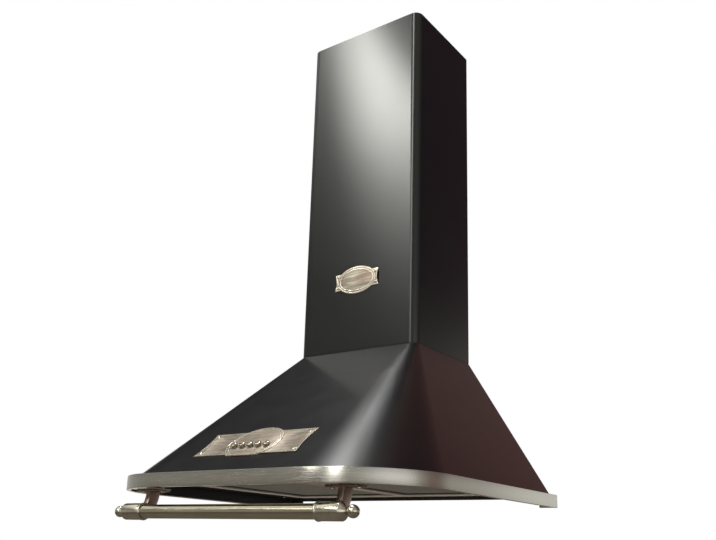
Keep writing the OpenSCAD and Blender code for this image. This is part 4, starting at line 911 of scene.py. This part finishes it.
def makeControlPlate():
    plate = hollowPlate(controls)
    lowerField(controls, plate, [(x * controls["screwX"], controls["height"] / 2 + y * controls["screwY"])
                                 for x in (-1, 1) for y in (-1, 1)])
    medallion = addOval(controls["ovalWidth"], controls["ovalHeight"], seatGap, controls["sheet"], 0,
                        controls["ovalRise"], 128)
    reach, low, high = cutter["reach"], cutter["low"], cutter["high"]
    combine(medallion, addCube((-reach, -reach, low), (reach, -controls["ovalBelow"], high), 0), "DIFFERENCE")
    combine(plate, medallion, "UNION")
    places = [(i - 2) * controls["pitch"] for i in range(5)]
    for x in places:
        combine(plate, addOval(controls["bossRadius"], controls["bossRadius"], controls["bossFoot"],
                               controls["sheet"] + controls["bossRise"], x, controls["buttonRise"], 48),
                "UNION")
    for x in places:
        combine(plate, addOval(controls["boreRadius"], controls["boreRadius"], low, high, x,
                               controls["buttonRise"], 48), "DIFFERENCE")
    roundEdges(plate, controls["edge"], 3, 50)
    pieces = [plate]
    for inset in controls["rings"]:
        ring = ovalRing(controls, inset, controls["ovalRise"])
        combine(ring, addCube((-reach, -reach, low),
                              (reach, controls["ringShort"] - controls["ovalBelow"], high), 0), "DIFFERENCE")
        pieces.append(roundEdges(ring, controls["ringEdge"], 2, 50))
    for text, x in zip(marks, places):
        pieces.append(addMark(text, x, controls["markRise"]))
    paintBorder(controls, plate, controls["ovalRise"])
    for piece in pieces[1:]:  # the crests are rubbed bright
        piece.data.materials.clear()
        piece.data.materials.append(crestNickel)
    body = joinPieces("controlPlateStamped", pieces)
    smoothShade(body, 30)
    moveTo(body, onFront(0, controls["low"]))
    dress(body, "hood", "aged_nickel", plateNickel, "control_plate")


makeControlPlate()

button = {"rise": 6, "radius": 5.6, "stem": 4, "foot": -5, "under": 4.3}


def makeButtons():
    top = controls["sheet"] + button["rise"]
    profile = [(button["stem"], button["foot"]), (button["stem"], button["under"]),
               (button["radius"] - 0.4, button["under"]), (button["radius"] - 0.1, button["under"] + 0.15),
               (button["radius"], button["under"] + 0.5), (button["radius"], top - 1.7),
               (button["radius"] - 0.12, top - 1.2), (button["radius"] - 0.5, top - 0.7),
               (button["radius"] - 1.1, top - 0.3), (button["radius"] - 1.9, top - 0.05),
               (button["radius"] - 2.5, top), (button["radius"] - 3, top - 0.1), (1.4, top - 0.4),
               (0.4, top - 0.45)]
    model = turnPiece("buttonModel", profile, 40)
    smoothShade(model, 40)
    for i, name in enumerate(("one", "two", "three", "four", "five")):
        cap = copyPiece(model, "buttonTurned" + name.capitalize())
        moveTo(cap, onFront((i - 2) * controls["pitch"], controls["low"] + controls["buttonRise"]))
        dress(cap, "button_" + name + "_body", "rail_nickel", buttonNickel, "button_" + name)
    bpy.data.objects.remove(model)


makeButtons()


def makePlateScrews():
    profile = [(1.4, -4.9), (1.4, controls["sheet"]), (2.95, controls["sheet"]), (2.9, 1.9), (2.68, 2.1),
               (2.19, 2.6), (1.4, 3.1), (0.6, 3.35)]
    model = cutSlot(turnPiece("screwModel", profile, 32), 3.4, 4)
    smoothShade(model, 35)
    pieces = []
    for i, (x, y) in enumerate(((-1, -1), (1, -1), (-1, 1), (1, 1))):
        turned = Matrix.Rotation(math.radians(35 + 47 * i), 4, "Z")
        middle = controls["low"] + controls["height"] / 2
        pieces.append(moveTo(copyPiece(model, "screw"), onFront(
            x * controls["screwX"], middle + y * controls["screwY"]) @ turned))
    bpy.data.objects.remove(model)
    dress(joinPieces("controlPlateScrewHeads", pieces), "hood", "bright_screw", screwNickel,
          "control_plate_screws")


makePlateScrews()
print("control plate made")

badge = {"width": 100, "height": 32, "rise": 136, "sheet": 1.5, "hollow": 4, "edge": 0.2, "ovalWidth": 44,
         "ovalHeight": 27, "rings": (1, 5), "ringWidth": 2, "ringRise": 0.8, "ringEdge": 0.35, "rivetX": 42.5,
         "rivetY": 10.5, "border": 1.8, "sink": 0.45, "seat": 3}


def makeNamePlate():
    half = badge["height"] / 2
    plate = hollowPlate(badge)
    lowerField(badge, plate, [(x * badge["rivetX"], half + y * badge["rivetY"])
                              for x in (-1, 1) for y in (-1, 1)])
    combine(plate, addOval(badge["ovalWidth"], badge["ovalHeight"], seatGap, badge["sheet"], 0, half, 128),
            "UNION")
    roundEdges(plate, badge["edge"], 3, 50)
    rings = [roundEdges(ovalRing(badge, inset, half), badge["ringEdge"], 2, 50) for inset in badge["rings"]]
    paintBorder(badge, plate, half)
    for ring in rings:
        ring.data.materials.append(crestNickel)
    body = joinPieces("ovalPlateStamped", [plate] + rings)
    smoothShade(body, 30)
    moveTo(body, onCover(0, badge["rise"] - half))
    dress(body, "hood", "aged_nickel", plateNickel, "name_plate")
    profile = [(1.2, -2.5), (1.2, badge["sheet"]), (2.2, badge["sheet"]), (2.15, 1.8), (1.95, 2.15), (1.5, 2.5),
               (0.9, 2.7), (0.3, 2.77)]
    model = turnPiece("rivetModel", profile, 24)
    smoothShade(model, 40)
    rivets = [moveTo(copyPiece(model, "rivet"),
                     onCover(x * badge["rivetX"], badge["rise"] + y * badge["rivetY"]))
              for x in (-1, 1) for y in (-1, 1)]
    bpy.data.objects.remove(model)
    dress(joinPieces("ovalPlateRivets", rivets), "hood", "bright_screw", screwNickel, "name_plate_rivets")


makeNamePlate()
print("oval plate made")

mesh = {"pitch": 3.2, "wire": 0.45, "layers": (1.6, 5.0), "crossing": 0.85, "margin": 1}


def addWires(low, high, height, along, offset):  # one layer of straight wires, as six-sided rods
    length = high[along] - low[along] - mesh["margin"] * mm
    across = 1 - along
    deselectAll()
    bpy.ops.mesh.primitive_cylinder_add(
        vertices=6, radius=mesh["wire"] * mm, depth=length, end_fill_type="TRIFAN",
        rotation=(0, math.radians(90), 0) if along == 0 else (math.radians(90), 0, 0))
    wire = bpy.context.object
    place = [(low[0] + high[0]) / 2, (low[1] + high[1]) / 2, height]
    place[across] = low[across] + (mesh["margin"] + offset) * mm
    wire.location = place
    settle(wire)
    rows = wire.modifiers.new("rows", "ARRAY")
    rows.use_relative_offset, rows.use_constant_offset = False, True
    step = [0, 0, 0]
    step[across] = mesh["pitch"] * mm
    rows.constant_offset_displace = step
    span = high[across] - low[across] - (2 * mesh["margin"] + offset) * mm
    rows.count = int(span / (mesh["pitch"] * mm)) + 1
    applyModifiers(wire)
    return wire


def makeFilterMesh(side):
    low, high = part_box("filter_mesh_" + side)
    layers = []
    for i, rise in enumerate(mesh["layers"]):
        offset = i * mesh["pitch"] / 2
        layers.append(addWires(low, high, low[2] + rise * mm, 0, offset))
        layers.append(addWires(low, high, low[2] + (rise + mesh["crossing"]) * mm, 1, offset))
    body = joinPieces("filterMeshWires" + side.capitalize(), layers)
    smoothShade(body, 70)
    dress(body, "filter_" + side, "filter_aluminium", filterAluminium, "filter_mesh_" + side)


makeFilterMesh("left")
makeFilterMesh("right")
print("filter meshes made")

lens = {"side": 130, "back": 423, "crown": ((8, -0.08), (8, -0.05)),
        "profile": [(25.2, 20.85), (26.4, 20.95), (26.85, 21.3), (26.85, 22.6), (26.5, 22.7)]}


def makeLens(side, name):
    glass = turnPiece("lampLensPressed" + name, [(r, z - originHeight) for r, z in lens["profile"]], 96)
    editSelect(glass, "FACE", lambda f: f.normal.z < -0.9)
    for inset, drop in lens["crown"]:  # the outside is slightly crowned
        bpy.ops.mesh.inset(thickness=inset * mm)
        bpy.ops.transform.translate(value=(0, 0, drop * mm))
    endEdit()
    smoothShade(glass, 40)
    moveTo(glass, Matrix.Translation((side * lens["side"] * mm, -lens["back"] * mm, 0)))
    dress(glass, "hood", "lens_glass", lensGlass, "lamp_lens_" + name.lower())


makeLens(-1, "Left")
makeLens(1, "Right")
print("lenses made")
